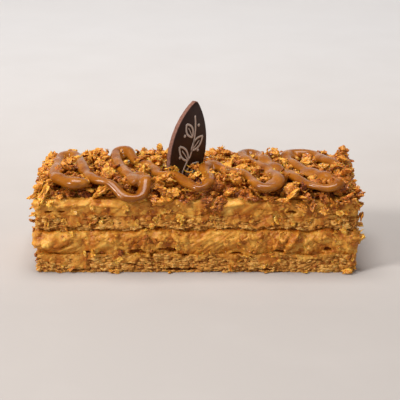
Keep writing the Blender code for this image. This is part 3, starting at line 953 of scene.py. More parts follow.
def crumb_finish(name):
    """Brittle, sugary crumbs from gold to dark brown."""
    made, tree, shader = new_material(name)
    grains = speckle(tree, 0.75, 3.0)
    # the toast trait also carries painted shade: darker creases and shaded spots
    tone = drift(tree, trait(tree, "toast"), 0.4, 2.2, 2.0)
    tone = maths(tree, "MULTIPLY_ADD", maths(tree, "SUBTRACT", grains, 0.5), 1.0, tone)
    tree.links.new(ramp(tree, tone, *CRUMB_TONES), shader.inputs["Base Color"])
    tree.links.new(maths(tree, "MULTIPLY_ADD", speckle(tree, 0.7, 4.0), 0.4, 0.3),
                   shader.inputs["Roughness"])
    shader.inputs["Specular IOR Level"].default_value = 0.3
    shader.inputs["Coat Weight"].default_value = 0.2
    shader.inputs["Coat Roughness"].default_value = 0.15
    glow_inside(shader, 0.4, 1.2)
    fine = maths(tree, "MULTIPLY_ADD", speckle(tree, 0.35), 0.4, grains)
    relief(tree, shader, fine, 1.0, 0.45)
    return made


crumb_gold = crumb_finish("caramelised_crumbs")


def finish_crumbs(made):
    """The material and the ride that all crumb pieces share."""
    made.data.materials.append(crumb_gold)
    made.data.set_sharp_from_angle(angle=math.radians(75))
    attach(made, "root")
    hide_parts("crumb_topping")


finish_crumbs(crumb_core())


# %% [markdown]
# ### Laying them
# Every kind gets one call. Random places cover the top, and listed places put the
# clumps where they hang over the front edge. Big crumbs lie flat on their leaves or lean
# a little, and small ones may stand any way.

# %% Lay the crumbs
def any_turn(tilt):
    """A random heading, leaning by up to about the given angle."""
    lean_way = dice.uniform(0, 2 * math.pi)
    leaning = turn((math.cos(lean_way), math.sin(lean_way), 0), tilt * abs(dice.normal(0, 0.5)))
    return leaning @ turn((0, 0, 1), dice.uniform(0, 2 * math.pi))


def over_heap(count, margin):
    """Random places over the heap's top, that far inside its rim."""
    x = dice.uniform(margin - HALF_LENGTH, HALF_LENGTH - margin, count)
    front = margin - HALF_DEPTH + setback(x)
    return np.stack([x, dice.uniform(front, HALF_DEPTH - margin, count)], axis=1)


def spread_out(places, gap):
    """Only the places that keep a gap from those before them."""
    kept = []
    for place in places:
        if all(np.hypot(*(place - other)) > gap for other in kept):
            kept.append(place)
    return np.array(kept)


def copies(patterns, crumbs):
    """All crumbs of one kind as one mesh; a crumb is (place, sizes, turn, toast)."""
    points, faces, toasts, start = [], [], [], 0
    for place, sizes, turned, toast in crumbs:
        shape, triangles, tones = patterns[dice.integers(len(patterns))]
        points.append((shape * sizes) @ turned.T + place + [0.0, BACK, 0.0])
        faces.append(triangles + start)
        toasts.append(toast + tones)
        start += len(shape)
    return np.concatenate(points), np.concatenate(faces), {"toast": np.concatenate(toasts)}


# painted shade: where the heap lies in shade, under the rope and in its pits, crumbs are laid darker
SHADED_SPOTS = (      # along, across, half length, half depth (mm), how much darker
    (-45.0, -20.5, 6.5, 3.0, 0.35), (-16.5, -17.0, 3.5, 3.5, 0.2), (9.0, -17.0, 6.0, 4.0, 0.25),
    (21.0, -22.0, 6.5, 3.0, 0.25), (-28.0, -17.0, 3.0, 3.5, 0.3), (34.0, -14.0, 3.5, 5.0, 0.25),
    (-47.5, -2.0, 3.0, 3.5, 0.3), (26.0, 11.0, 4.0, 3.5, 0.2), (43.0, -20.0, 4.5, 3.5, 0.3),
    (-36.0, 2.0, 3.0, 4.0, 0.25), (-28.0, 5.0, 2.5, 4.0, 0.2), (53.0, -17.0, 3.5, 4.0, 0.2),
)


def toast_and_shade(place=(0.0, 99.0)):
    """A crumb's tone at a place: its toast, 0 bitter brown to 1 pale gold, darkened as painted shade in the
    shaded spots.
    """
    middle = 0.36 if dice.uniform() < 0.22 else 0.6
    for along, across, half_length, half_depth, darker in SHADED_SPOTS:
        away = np.hypot((place[0] - along) / half_length, (place[1] - across) / half_depth)
        # painted shade: darker inside a shaded spot
        middle -= darker * (1 - step(0.6, 1.3, away))
    return float(np.clip(dice.normal(middle, 0.12), 0.08, 0.95))


def stick(name, patterns, crumbs):
    """Joins crumbs that are already placed into one piece."""
    points, faces, traits = copies(patterns, crumbs)
    finish_crumbs(make_mesh(name, points, faces, traits))
    print(name, "holds", len(crumbs), "crumbs and", len(faces), "triangles")


def strew(name, patterns, places, size_range, flatness, tilt, sink, extra=()):
    """Settles crumbs at the places, adds the extra ones, and joins them all."""
    crumbs = list(extra)
    for place in places:
        size = size_range[0] + (size_range[1] - size_range[0]) * dice.uniform() ** 1.6
        sizes = size * dice.uniform((0.8, 0.75, flatness * 0.8), (1.1, 1.05, flatness * 1.2))
        rest = settle(place, size, 0.55 * sizes[2], sink)
        if rest is not None:
            crumbs.append((rest, sizes, any_turn(tilt), toast_and_shade(place)))
    stick(name, patterns, crumbs)


def round_rim(count, low, high, out):
    """Random places on the heap's side, all round, with their height."""
    spot = dice.integers(0, len(edge_places), count)
    flat = edge_places[spot] - [0.0, BACK] + edge_ways[spot] * dice.uniform(*out, count)[:, None]
    flat[:, 1] += np.where(edge_ways[spot, 1] < -0.5, setback(flat[:, 0]), 0.0)
    return np.concatenate([flat, dice.uniform(low, high, count)[:, None]], axis=1)


def on_side(places, size_range, flatness):
    """Crumbs that stick to a side at any turn."""
    crumbs = []
    for place in places:
        size = dice.uniform(*size_range)
        sizes = size * dice.uniform((0.8, 0.7, flatness * 0.8), (1.1, 1.0, flatness * 1.2))
        crumbs.append((place, sizes, any_turn(3.0), toast_and_shade(place)))
    return crumbs


RIM_CLUMPS = (      # along, across, height, size (mm), toast
    (-57.2, -22.0, 30.0, 3.6, 0.85), (-59.0, -19.0, 31.2, 3.0, 0.8), (-54.6, -22.9, 28.0, 2.4, 0.9),
    (-51.2, -21.6, 29.8, 2.4, 0.65), (-46.2, -19.4, 30.6, 2.4, 0.3), (-41.8, -19.2, 30.4, 2.4, 0.25),
    (-35.2, -19.8, 31.6, 3.5, 0.75), (-31.0, -19.4, 30.4, 2.3, 0.4), (-20.6, -23.0, 28.8, 2.2, 0.85),
    (-17.2, -22.8, 29.4, 3.2, 0.6), (-12.4, -23.2, 28.6, 3.2, 0.65), (-9.4, -21.4, 31.2, 3.6, 0.75),
    (-14.4, -20.0, 32.6, 3.0, 0.6), (-4.6, -22.6, 28.6, 2.3, 0.3), (-1.0, -21.6, 29.6, 2.2, 0.35),
    (4.4, -23.2, 28.6, 2.8, 0.4), (6.6, -23.8, 26.2, 2.4, 0.5), (9.0, -22.8, 29.0, 2.4, 0.4),
    (12.4, -19.8, 30.6, 2.6, 0.55), (18.2, -22.0, 30.0, 2.9, 0.35), (22.4, -22.2, 29.4, 3.0, 0.3),
    (27.4, -22.6, 29.0, 2.2, 0.5), (32.8, -22.8, 27.8, 2.5, 0.6), (35.2, -21.8, 30.8, 4.0, 0.65),
    (39.8, -22.8, 29.6, 3.2, 0.45), (38.6, -23.6, 26.4, 2.5, 0.6), (43.6, -23.2, 27.4, 2.9, 0.5),
    (46.8, -22.6, 29.6, 3.0, 0.35), (50.8, -23.2, 27.2, 3.1, 0.55), (55.0, -22.8, 28.6, 3.4, 0.5),
    (58.6, -22.2, 26.4, 2.9, 0.6), (59.0, -20.0, 30.0, 3.0, 0.5), (48.2, -23.9, 24.8, 2.2, 0.7),
    (56.2, -23.8, 24.4, 2.2, 0.65),
    (-49.5, 19.5, 34.8, 2.8, 0.85), (-39.0, 19.0, 34.6, 3.0, 0.6), (-57.5, 16.0, 33.2, 3.0, 0.7),
    (-43.5, 20.5, 33.6, 2.6, 0.7), (-41.0, 20.0, 31.8, 2.8, 0.6), (-20.4, 19.0, 34.6, 3.0, 0.8), (-15.0, 20.0, 33.8, 2.6, 0.6),
    (7.4, 19.0, 33.6, 3.0, 0.65), (12.6, 19.6, 33.4, 2.8, 0.5), (55.6, 18.6, 34.2, 3.0, 0.5),
    (50.5, 19.6, 33.4, 2.7, 0.6), (-2.5, 20.0, 33.0, 2.8, 0.7), (30.0, 20.4, 33.4, 2.6, 0.6),
    (-5.0, 13.0, 35.2, 3.0, 0.85),
)


TOP_CLUMPS = (      # along, across, above the smooth heap, size (mm), toast
    (-20.6, -8.6, 2.4, 2.4, 0.85), (-31.8, -6.6, 1.2, 2.3, 0.85), (-14.6, -18.4, 2.0, 2.6, 0.7),
    (0.6, -8.6, 1.2, 2.0, 0.9), (10.8, -0.6, 1.6, 2.2, 0.75), (-47.8, 2.0, 0.8, 2.2, 0.7),
    (-48.6, -9.6, 0.8, 2.0, 0.5), (-28.4, 3.4, 1.4, 2.3, 0.9), (-8.6, -5.4, 2.2, 2.9, 0.9),
    (33.4, 7.0, 1.6, 2.6, 0.8), (33.0, -5.6, 1.4, 2.2, 0.7), (38.6, -13.0, 1.0, 2.4, 0.6),
    (42.0, 6.0, 1.4, 2.4, 0.75), (48.0, 3.0, 1.0, 2.4, 0.8), (54.0, -9.0, 1.0, 2.4, 0.6),
    (15.0, -13.0, 1.2, 2.6, 0.7), (13.0, 7.0, 1.6, 2.6, 0.75), (25.0, -15.5, 0.6, 2.0, 0.4),
    (-36.6, 8.0, 1.8, 3.2, 0.75), (-40.6, 14.0, 1.8, 2.8, 0.65), (-57.0, -8.0, 1.2, 2.6, 0.8),
    (-57.0, 4.0, 1.4, 2.8, 0.75), (-34.6, -11.6, 1.6, 2.6, 0.5), (-12.6, 6.6, 1.8, 2.8, 0.85),
    (-21.0, 9.8, 2.0, 2.4, 0.6), (56.8, 6.6, 1.6, 2.8, 0.6), (43.6, 12.6, 1.2, 2.4, 0.4),
    (-12.0, -15.0, 1.6, 3.2, 0.7), (19.0, 4.4, 1.4, 2.4, 0.6), (-29.6, 17.0, 1.0, 2.6, 0.6),
)


def rim_clumps():
    """The clumps that are listed one by one, along the heap's rim and on top."""
    crumbs = []
    on_top = [(along, across, heap_height(along, across) + above, size, toast)
              for along, across, above, size, toast in TOP_CLUMPS]
    for along, across, height, size, toast in [*RIM_CLUMPS, *on_top]:
        sizes = size * dice.uniform((1.0, 0.9, 0.8), (1.25, 1.15, 1.05))
        crumbs.append((np.array([along, across, height]), sizes, any_turn(1.2), toast))
    return crumbs


stick("crumb_clumps", cluster_patterns, rim_clumps())
strew("crumb_clusters", cluster_patterns, spread_out(over_heap(900, 1.8), 5.6),
      (2.6, 5.2), 0.95, 1.1, 0.12)
strew("crumb_chunks", chunk_patterns, over_heap(480, 0.8), (0.9, 2.2), 0.9, 3.0, 0.25,
      on_side(round_rim(150, CREAM_EDGE - 0.3, CRUMB_TOP - 1.5, (-1.8, 0.0)), (0.7, 1.7), 0.9))
strew("crumb_leaves", leaf_patterns, over_heap(200, 0.6), (0.9, 2.1), 0.9, 0.8, 0.3,
      on_side(round_rim(110, CREAM_EDGE - 0.5, CRUMB_TOP - 1.0, (-1.4, 0.2)), (0.8, 1.9), 0.9))
strew("crumb_curls", curl_patterns, over_heap(40, 0.6), (1.0, 2.0), 0.9, 1.5, 0.15,
      on_side(round_rim(20, CREAM_EDGE, CRUMB_TOP - 1.0, (-1.0, 0.2)), (0.8, 1.6), 0.9))
strew("crumb_dust", dust_patterns, over_heap(900, 0.3), (0.3, 0.8), 0.9, 3.0, 0.1,
      on_side(round_rim(400, CREAM_EDGE - 2.0, CRUMB_TOP - 1.0, (-1.0, 0.3)), (0.25, 0.7), 0.9))


# %% [markdown]
# ## What sticks to the sides
# The knife dragged crumbs down over the cut and pressed them into the cream. To place one,
# a ray is sent at the slice from outside, and where it meets a layer, the crumb is set on
# that point and lies along the surface.

# %% Find the surface
def shot_at(made):
    """A tree that answers where a ray meets a mesh."""
    graph = bpy.context.evaluated_depsgraph_get()
    return BVHTree.FromObject(made, graph)


def surface_at(trees, place, way):
    """Where a ray from outside meets the layers: (point, way out of it) in mm, or None."""
    start = Vector((*(place[:2] + [0.0, BACK] + 12 * way), place[2])) * MM
    inward = Vector((*-way, 0.0))
    hits = [tree.ray_cast(start, inward) for tree in trees]
    hits = [hit for hit in hits if hit[0] is not None]
    if not hits:
        return None
    nearest = min(hits, key=lambda hit: hit[3])
    return np.array(nearest[0]) / MM - [0.0, BACK, 0.0], np.array(nearest[1])


def lying_on(normal, heading, lean):
    """A turn that lays a crumb's flat side on a surface; lean tips it off, in radians."""
    out = Vector(normal)
    across = Vector((0, 0, 1)).cross(out)
    across = across.normalized() if across.length > 0.1 else Vector((1, 0, 0))
    up = out.cross(across)
    flat = np.array((across, up, out)).T
    lean_way = dice.uniform(0, 2 * math.pi)
    tipped = turn((math.cos(lean_way), math.sin(lean_way), 0), lean)
    return flat @ tipped @ turn((0, 0, 1), heading)


side_trees = [shot_at(layer) for layer in layers]


def stuck_on(places, ways, size_range, flatness, lean, toast=None):
    """Crumbs that lie on the sides at the places (all given about the slice's middle)."""
    crumbs = []
    for place, way in zip(places, ways):
        found = surface_at(side_trees, place, way)
        size = size_range[0] + (size_range[1] - size_range[0]) * dice.uniform() ** 2
        sizes = size * dice.uniform((0.8, 0.7, flatness * 0.8), (1.2, 1.0, flatness * 1.2))
        turned = None if found is None else lying_on(found[1], dice.uniform(0, 6.3), dice.normal(0, lean))
        if found is not None:
            crumbs.append((found[0] + found[1] * 0.3 * sizes[2], sizes, turned,
                           toast_and_shade() + 0.05 if toast is None else toast))
    return crumbs


def round_the_sides(count, low, high):
    """Random places on all sides between two heights, and the ways out there."""
    spot = dice.integers(0, len(edge_places), count)
    flat = edge_places[spot] - [0.0, BACK]
    return np.column_stack([flat, dice.uniform(low, high, count)]), edge_ways[spot]


# %% Stick them on
FRONT_BITS = (      # along, height, half size (mm), toast
    (-40.0, 21.0, 1.5, 0.5), (-34.8, 21.4, 1.7, 0.95), (-35.4, 19.6, 1.2, 0.9),
    (-15.6, 21.0, 1.8, 0.95), (-16.3, 18.6, 1.5, 0.95), (-14.2, 22.8, 1.3, 0.85),
    (-6.2, 21.0, 1.7, 0.95), (-5.4, 19.0, 1.3, 0.95), (-1.4, 21.6, 1.0, 0.95),
    (-38.4, 9.2, 1.3, 0.75), (-41.6, 7.4, 1.3, 0.9), (-28.6, 7.9, 1.8, 0.3),
    (-13.6, 12.0, 1.3, 0.85), (5.4, 8.2, 1.0, 0.8), (-19.4, 14.6, 1.5, 0.5),
    (-17.8, 13.0, 1.0, 0.5), (51.6, 15.8, 1.4, 0.8), (55.3, 17.6, 2.0, 0.9),
    (52.7, 20.4, 1.7, 0.75), (42.0, 20.6, 1.3, 0.8), (36.0, 19.0, 1.2, 0.75),
    (28.4, 19.4, 1.3, 0.8), (20.6, 20.0, 1.2, 0.8), (11.6, 19.4, 1.0, 0.8),
    (-25.6, 24.0, 1.4, 0.5), (-23.4, 22.4, 1.1, 0.6), (-52.6, 22.0, 1.8, 0.85),
    (-48.8, 20.8, 1.5, 0.85), (-55.8, 20.2, 1.6, 0.9), (-44.0, 19.6, 1.2, 0.85),
    (6.2, 23.4, 1.4, 0.45), (5.0, 21.6, 1.2, 0.5), (1.6, 23.8, 1.2, 0.6),
    (48.6, 24.6, 1.6, 0.7), (44.4, 24.0, 1.5, 0.65), (53.6, 24.2, 1.8, 0.85),
    (8.4, 26.2, 1.6, 0.3), (3.2, 26.4, 1.4, 0.4), (9.2, 22.2, 1.2, 0.4), (2.8, 20.4, 1.0, 0.5),
    (7.0, 19.6, 1.1, 0.6), (5.4, 28.0, 1.6, 0.3), (-9.8, 24.6, 1.5, 0.6), (-11.6, 22.4, 1.2, 0.7),
)


LOOSE_BITS = (      # along, across, height, half size (mm), toast, turn in degrees, lean in degrees
    (-31.4, -23.6, 0.7, 2.5, 0.85, 5, 0), (56.6, -23.4, 0.8, 2.2, 0.8, -20, 5),
    (26.0, -23.4, 0.5, 1.0, 0.7, 30, 0), (41.0, -23.3, 0.5, 1.2, 0.75, 10, 0),
    (-10.0, -23.3, 0.5, 0.9, 0.7, 70, 0), (-52.0, -23.0, 0.5, 1.5, 0.7, 0, 0),
    (60.9, -19.0, 12.3, 2.8, 0.95, -8, 24), (61.6, -20.6, 21.6, 2.0, 0.65, 10, 70),
    (61.0, -18.0, 17.4, 2.0, 0.8, 25, -15), (-61.0, -20.0, 29.2, 2.2, 0.75, 0, 12),
    (-61.4, -19.6, 19.6, 1.8, 0.6, 20, -10), (-60.6, -18.0, 25.0, 2.4, 0.8, 10, 20),
    (-60.9, -21.0, 22.4, 1.8, 0.8, -10, 10), (60.4, -21.0, 25.8, 2.4, 0.6, 0, 30),
)


def loose_bits():
    """Flakes that stand out at the ends and crumbs round the foot, listed one by one."""
    crumbs = []
    for along, across, height, size, toast, heading, lean in LOOSE_BITS:
        turned = turn((0, 1, 0), math.radians(-lean)) @ turn((0, 0, 1), math.radians(heading))
        sizes = size * np.array([1.0, 0.75, 0.7])
        crumbs.append((np.array([along, across, height]), sizes, turned, toast))
    return crumbs


def front_bits():
    """The crumbs on the front that are listed one by one."""
    crumbs = []
    for along, height, size, toast in FRONT_BITS:
        place = np.array([along, -HALF_DEPTH, height])
        crumbs += stuck_on([place], [np.array([0.0, -1.0])], (size, size), 0.8, 0.5, toast)
    return crumbs


stick("side_clusters", cluster_patterns[:4], front_bits() + loose_bits())
stick("side_leaves", leaf_patterns,
      stuck_on(*round_the_sides(300, 1.0, 27.0), (0.6, 1.7), 0.8, 0.3))
stick("side_chunks", chunk_patterns, stuck_on(*round_the_sides(260, 0.8, 27.0), (0.4, 1.1), 0.9, 1.0))
stick("side_dust", dust_patterns, stuck_on(*round_the_sides(700, 0.5, 27.5), (0.2, 0.6), 0.9, 1.0))


# %% [markdown]
# ## The rope of caramel
# A bevelled curve would give a clean round hose whose crossings cut through each other.
# Warm caramel spreads a little instead: a strand is wider than it is high, it pools where
# strands lie side by side, and it melts into itself. So flattened rings are swept along
# the run, a few pools are added, and a voxel remesh wraps everything in one skin.

# %% Sweep the rope
AROUND = 14
SPREAD = 1.2           # a strand's width is this many times that of a round one
CARAMEL_POOLS = (      # along, across, above the heap, then half sizes (mm), heading in degrees
    (45.0, -9.5, 1.0, 11.0, 3.7, 1.2, -62), (28.2, -9.0, 1.0, 6.0, 3.0, 1.2, 100),
    (-40.8, -6.0, 0.2, 5.5, 2.5, 1.1, -65), (-21.0, -17.0, 0.5, 4.4, 2.6, 1.5, 95),
    (4.2, -3.5, 0.4, 5.0, 2.7, 1.3, 80), (8.0, 3.0, 0.6, 3.4, 2.6, 1.3, 20),
    (-30.0, 15.5, 0.7, 3.0, 2.9, 1.5, 90), (21.5, 13.5, 0.7, 3.4, 3.0, 1.4, 80),
    (36.8, 16.0, 0.6, 2.6, 3.2, 1.3, 60), (28.2, -19.4, 0.9, 4.2, 3.0, 1.2, 70),
    (-51.0, 12.0, 0.4, 4.5, 2.2, 1.2, 75), (24.5, 3.0, 0.5, 5.0, 2.2, 1.2, 110),
    (-37.5, -8.0, 0.0, 5.0, 3.4, 0.8, -40), (-26.5, -7.0, 0.1, 3.0, 3.0, 0.9, 0),
    (-10.5, -8.0, 0.1, 3.6, 3.0, 0.8, 20), (36.0, -7.0, 0.8, 6.0, 3.4, 1.0, -60),
    (50.0, -16.5, 0.2, 4.5, 3.2, 0.9, -70), (12.0, -1.0, 0.2, 3.6, 2.6, 0.9, -30),
)


def sweep(run, radii):
    """Rings along the run that close to a round end: places and faces."""
    along = np.gradient(run, axis=0)
    along /= np.linalg.norm(along, axis=1)[:, None]
    side = np.cross(along, [0.0, 0.0, 1.0])
    side /= np.linalg.norm(side, axis=1)[:, None]
    up = np.cross(side, along)
    reach = np.concatenate([[0], np.cumsum(np.linalg.norm(np.diff(run, axis=0), axis=1))])
    to_end = np.minimum(reach, reach[-1] - reach) / (2.0 * ROPE_RADIUS)
    radii = radii * np.sqrt(np.clip(1 - (1 - np.minimum(to_end, 1)) ** 2, 0.02, 1))
    angle = np.linspace(0, 2 * math.pi, AROUND, endpoint=False)
    wide = SPREAD * radii[:, None, None] * np.cos(angle)[None, :, None] * side[:, None, :]
    high = radii[:, None, None] / SPREAD * np.sin(angle)[None, :, None] * up[:, None, :]
    places = (run[:, None, :] + wide + high).reshape(-1, 3)
    return places, rings_to_faces(len(run), AROUND)


def caramel_rope():
    """The rope and its pools, melted into one smooth skin."""
    places, faces = sweep(rope_run, rope_radii)
    ball = bmesh.new()
    bmesh.ops.create_icosphere(ball, subdivisions=3, radius=1.0)
    round_places = np.array([vertex.co[:] for vertex in ball.verts])
    round_faces = [[vertex.index for vertex in face.verts] for face in ball.faces]
    ball.free()
    for along, across, above, length, width, height, heading in CARAMEL_POOLS:
        middle = [along, across, heap_height(along, max(across, -21.5)) + above]
        pool = (round_places * (length, width, height)) @ turn((0, 0, 1), math.radians(heading)).T
        start = len(places)
        places = np.concatenate([places, pool + middle])
        faces += [[corner + start for corner in face] for face in round_faces]
    made = make_mesh("caramel_rope", places + [0.0, BACK, 0.0], faces)
    melt = made.modifiers.new("melt", "REMESH")
    melt.mode = "VOXEL"
    melt.voxel_size = 0.5 * MM
    ease = made.modifiers.new("ease", "SMOOTH")
    ease.factor = 0.6
    ease.iterations = 6
    bpy.context.view_layer.update()
    graph = bpy.context.evaluated_depsgraph_get()
    melted = bpy.data.meshes.new_from_object(made.evaluated_get(graph))
    made.modifiers.clear()
    made.data = melted
    melted.shade_smooth()
    print("the rope has", len(melted.polygons), "faces")
    return made


# %% Caramel
def caramel_finish():
    """Smooth, slightly see-through caramel."""
    made, tree, shader = new_material("caramel")
    colour = ramp(tree, speckle(tree, 5.0, 3.0), (0.3, (122, 64, 8)), (0.7, (156, 94, 20)))
    tree.links.new(colour, shader.inputs["Base Color"])
    dull = maths(tree, "MULTIPLY_ADD", speckle(tree, 3.0, 2.0), 0.16, 0.2)
    tree.links.new(dull, shader.inputs["Roughness"])
    glow_inside(shader, 0.15, 0.8)
    shader.inputs["Specular IOR Level"].default_value = 0.12
    shader.inputs["Coat Weight"].default_value = 0.4
    shader.inputs["Coat Roughness"].default_value = 0.05
    relief(tree, shader, speckle(tree, 2.2, 2.0), 0.5, 0.4)
    return made


rope = caramel_rope()
rope.data.materials.clear()
rope.data.materials.append(caramel_finish())
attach(rope, "root")
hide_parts("caramel_drizzle")


# %% [markdown]
# ## The chocolate plaque
# The plaque is a thin leaf of tempered dark chocolate, cut from a sheet and stood on edge.
# A cutter leaves a matt edge with slightly rounded corners, which one bevelled plate
# with its own mesh shows better than the frame's plain solid. The edge's paler colour is
# painted light. Two arcs make the leaf, and the same sums place both its outline and what
# is printed on it.

# %% The plaque's plate
PLAQUE_PLACE = np.array([-0.8, 4.5 + BACK, 45.0])
PLAQUE_TIP = (0.6, 15.0)
PLAQUE_TURN = math.radians(47)
PLAQUE_LEAN = math.radians(14)
PLAQUE_WAY = np.array([math.cos(PLAQUE_TURN), math.sin(PLAQUE_TURN), 0.0])
PLAQUE_FACE = np.array([math.sin(PLAQUE_TURN), -math.cos(PLAQUE_TURN), 0.0])
HALF_THICKNESS = 1.0


def half_width(down, inset=0.0):
    """Half the leaf's width at a distance down from its tip."""
    return np.sqrt(np.maximum((26.3 - inset) ** 2 - (down - 20.5) ** 2, 0)) - 16.5


def on_plaque(across, down, out):
    """Places on the plaque: across it, down from its tip and out of its middle plane."""
    x = PLAQUE_TIP[0] + across * math.cos(PLAQUE_LEAN) - down * math.sin(PLAQUE_LEAN)
    z = PLAQUE_TIP[1] - across * math.sin(PLAQUE_LEAN) - down * math.cos(PLAQUE_LEAN)
    up = np.array([0.0, 0.0, 1.0])
    return PLAQUE_PLACE + x[..., None] * PLAQUE_WAY + z[..., None] * up + out[..., None] * PLAQUE_FACE


def leaf_outline(inset):
    """The leaf's outline, inset by so much, anticlockwise from the tip."""
    down = np.linspace(0.6 + 1.6 * inset, 32.3, 70)
    side = half_width(down, inset)
    start = math.atan2(3.5, side[-1])
    angle = np.linspace(start, math.pi - start, 22)[1:-1]
    foot = (7.85 - inset) * np.stack([-np.cos(angle), np.sin(angle)], axis=1) + [0.0, 28.8]
    left = np.stack([-side, down], axis=1)
    right = np.stack([side, down], axis=1)[::-1]
    return np.concatenate([left, foot, right])


def plaque_plate():
    """Rings round the edge from the back to the front: places, faces, share of the edge."""
    rings = ((-1.0, 0.5), (-0.95, 0.22), (-0.78, 0.06), (-0.4, 0.0), (0.0, 0.04), (0.4, 0.0),
             (0.78, 0.06), (0.95, 0.22), (1.0, 0.5))
    places, edge = [], []
    for out, inset in rings:
        line = leaf_outline(inset)
        ring = on_plaque(line[:, 0], line[:, 1], np.full(len(line), out * HALF_THICKNESS))
        inward = ring.mean(axis=0) - ring
        inward /= np.linalg.norm(inward, axis=1)[:, None]
        worn = 0.12 * rough(ring, 2.0, 2, 101) if inset < 0.3 else np.zeros(len(ring))
        places.append(ring + inward * np.abs(worn)[:, None])
        edge.append(np.full(len(ring), 1.0 if inset < 0.2 else 0.0))
    faces = rings_to_faces(len(rings), len(places[0]))
    return np.concatenate(places), faces, np.concatenate(edge)


# %% [markdown]
# ### The print
# Cocoa butter is printed on a sheet, and the chocolate takes the print off it as it sets.
# The motif here is a sprig: a stem with leaves in outline, veins and dots. Each stroke is
# a flat band a few hundredths of a millimetre thick, set into the face.

# %% A printed sprig
PRINT_OUT = HALF_THICKNESS + 0.03


def bowed(start, end, bow, count=17):
    """A bowed line between two places; bow is how far it stands off at its middle."""
    start, end = np.array(start), np.array(end)
    t = np.linspace(0, 1, count)[:, None]
    aside = np.array([-(end - start)[1], (end - start)[0]]) / np.linalg.norm(end - start)
    return start + (end - start) * t + aside * bow * 4 * t * (1 - t)


def band(line, width):
    """A flat printed stroke along a line: places and faces."""
    along = np.gradient(line, axis=0)
    aside = np.stack([-along[:, 1], along[:, 0]], axis=1) / np.linalg.norm(along, axis=1)[:, None]
    low, high = line - aside * width / 2, line + aside * width / 2
    corners = ((low, PRINT_OUT), (low, 0.9), (high, 0.9), (high, PRINT_OUT))
    rings = np.stack([on_plaque(side[:, 0], side[:, 1], np.full(len(line), out))
                      for side, out in corners], axis=1)
    return rings.reshape(-1, 3), rings_to_faces(len(line), 4)


def inside_leaf(line, margin):
    """Which points of a line lie on the leaf, that far inside its edge."""
    return (np.abs(line[:, 0]) < half_width(line[:, 1], margin)) & (line[:, 1] > 2.5)


def sprig_lines():
    """The strokes of the sprig, as (line, width)."""
    stem = np.concatenate([bowed((-1.5, 37.0), (1.2, 22.0), -1.6), bowed((1.2, 22.0), (0.2, 6.0), 1.3)])
    strokes_made = [(stem[np.arange(len(stem)) != 17], 0.75)]
    leaves = ((-1.6, 33.0, -7.0, 27.0), (0.4, 29.0, 6.6, 24.2), (0.6, 23.6, -5.6, 18.4),
              (1.4, 19.6, 6.4, 13.6), (0.8, 14.4, -3.6, 9.6))
    for x0, d0, x1, d1 in leaves:
        start, end = (x0, d0), (x1, d1)
        strokes_made += [(bowed(start, end, 1.7), 0.8), (bowed(start, end, -1.7), 0.8)]
        inner = (x0 + 0.7 * (x1 - x0), d0 + 0.7 * (d1 - d0))
        strokes_made.append((bowed(start, inner, 0.1), 0.4))
    return strokes_made


def sprig_print():
    """All strokes and dots, cut off at the leaf's edge: places and faces."""
    places, faces, count = [], [], 0
    pieces = []
    for line, width in sprig_lines():
        keep = inside_leaf(line, 0.3 + width / 2)
        run = line[keep]
        if len(run) > 3:
            pieces.append(band(run, width))
    for across, down in ((4.6, 29.6), (-4.4, 22.6), (5.0, 19.2), (-3.6, 14.2), (3.2, 9.6), (-5.2, 31.2)):
        angle = np.linspace(0, 2 * math.pi, 14, endpoint=False)
        circle = np.stack([across + 0.62 * np.cos(angle), down - 0.62 * np.sin(angle)], axis=1)
        rings = [on_plaque(circle[:, 0], circle[:, 1], np.full(14, out)) for out in (0.9, PRINT_OUT)]
        pieces.append((np.concatenate(rings), rings_to_faces(2, 14)))
    for piece_places, piece_faces in pieces:
        places.append(piece_places)
        faces += [[corner + count for corner in face] for face in piece_faces]
        count += len(piece_places)
    return np.concatenate(places), faces


# %% Chocolate
def chocolate_finish():
    """Dark chocolate with a satin face, a matt cut edge painted paler as painted light, and a pale print."""
    made, tree, shader = new_material("dark_chocolate")
    cloud = speckle(tree, 3.0, 3.0)
    face = ramp(tree, cloud, (0.3, (38, 17, 9)), (0.7, (50, 24, 14)))
    # painted light: the cut edge is coloured paler, as if lit
    edge = ramp(tree, speckle(tree, 0.8, 3.0), (0.3, (96, 58, 44)), (0.7, (134, 92, 76)))
    printed = ramp(tree, speckle(tree, 0.6, 3.0), (0.3, (186, 166, 152)), (0.7, (214, 198, 186)))
    colour = blend(tree, trait(tree, "edge"), face, edge)
    colour = blend(tree, trait(tree, "printed"), colour, printed)
    tree.links.new(colour, shader.inputs["Base Color"])
    dull = maths(tree, "MULTIPLY_ADD", speckle(tree, 1.2, 3.0), 0.2, 0.3)
    dull = maths(tree, "MULTIPLY_ADD", trait(tree, "edge"), 0.3, dull)
    tree.links.new(dull, shader.inputs["Roughness"])
    shader.inputs["Specular IOR Level"].default_value = 0.35
    relief(tree, shader, speckle(tree, 0.6, 3.0), 0.3, 0.05)
    return made


plate_places, plate_faces, plate_edge = plaque_plate()
print_places, print_faces = sprig_print()
plate_count, print_count = len(plate_places), len(print_places)
plate_faces += [[corner + plate_count for corner in face] for face in print_faces]
plaque = make_mesh("plaque_leaf", np.concatenate([plate_places, print_places]), plate_faces,
                   {"edge": np.concatenate([plate_edge, np.zeros(print_count)]),
                    "printed": np.repeat([0.0, 1.0], [plate_count, print_count])}, smooth=False)
plaque.data.materials.append(chocolate_finish())
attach(plaque, "root")
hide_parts("chocolate_plaque")


# %% [markdown]
# ## Stage and light
# The slice stands on a pale sheet that curves up behind it, so there is no horizon.
# Its colour is darker on the floor and paler up the wall, as painted light.
# A big soft lamp hangs high on the left, a weaker one fills in from the front right, and a
# pale sky lifts the shadows.

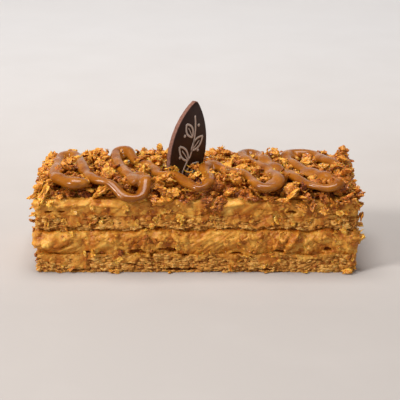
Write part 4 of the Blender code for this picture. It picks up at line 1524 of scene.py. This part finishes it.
# %% Stage
def stage_sheet():
    """A floor that bends up into a wall."""
    profile = [(-1.5, 0.0), (0.5, 0.0)]
    profile += [(0.5 + 0.5 * math.sin(a), 0.5 - 0.5 * math.cos(a))
                for a in np.linspace(0, math.pi / 2, 17)[1:]]
    profile.append((1.0, 2.5))
    places = [(x / MM, y / MM, z / MM) for x in (-3.0, 3.0) for y, z in profile]
    count = len(profile)
    faces = [(n, n + count, n + count + 1, n + 1) for n in range(count - 1)]
    made = make_mesh("stage_sheet", np.array(places), faces)
    paper, tree, shader = new_material("paper")
    place = add(tree, "ShaderNodeSeparateXYZ", {0: add(tree, "ShaderNodeTexCoord").outputs["Object"]})
    far = add(tree, "ShaderNodeMapRange", {0: place.outputs["Y"], 1: -0.06, 2: 0.7}).outputs[0]
    far = drift(tree, far, 0.1, 40.0)
    # painted light: the sheet is darker near the slice and paler towards the far wall
    tree.links.new(ramp(tree, far, (0.0, (168, 162, 158)), (0.19, (184, 178, 174)),
                        (0.63, (219, 217, 217)), (1.0, (240, 238, 237))), shader.inputs["Base Color"])
    shader.inputs["Roughness"].default_value = 0.9
    made.data.materials.append(paper)


stage_sheet()


# %% Lamps
def lamp(name, place, aim, size, power, colour):
    """A square soft lamp that looks at a point; place and aim are in metres."""
    data = bpy.data.lights.new(name, "AREA")
    data.shape = "SQUARE"
    data.size = size
    data.energy = power
    data.color = colour
    made = bpy.data.objects.new(name, data)
    made.location = place
    made.rotation_euler = (Vector(aim) - Vector(place)).to_track_quat("-Z", "Y").to_euler()
    bpy.context.scene.collection.objects.link(made)


lamp("key", (-0.62, -0.42, 0.5), (0, 0, 0.03), 0.22, 7.0, (1.0, 0.97, 0.94))
lamp("top", (-0.05, 0.0, 0.8), (0, 0, 0.03), 0.45, 6.0, (1.0, 0.98, 0.96))
lamp("fill", (0.6, -0.7, 0.35), (0, 0, 0.02), 0.6, 1.0, (1.0, 0.97, 0.95))

sky = bpy.data.worlds.new("sky")
sky.use_nodes = True
sky.node_tree.nodes["Background"].inputs["Color"].default_value = (1.0, 0.97, 0.95, 1.0)
sky.node_tree.nodes["Background"].inputs["Strength"].default_value = 0.25
bpy.context.scene.world = sky
bpy.context.scene.view_settings.view_transform = "Standard"
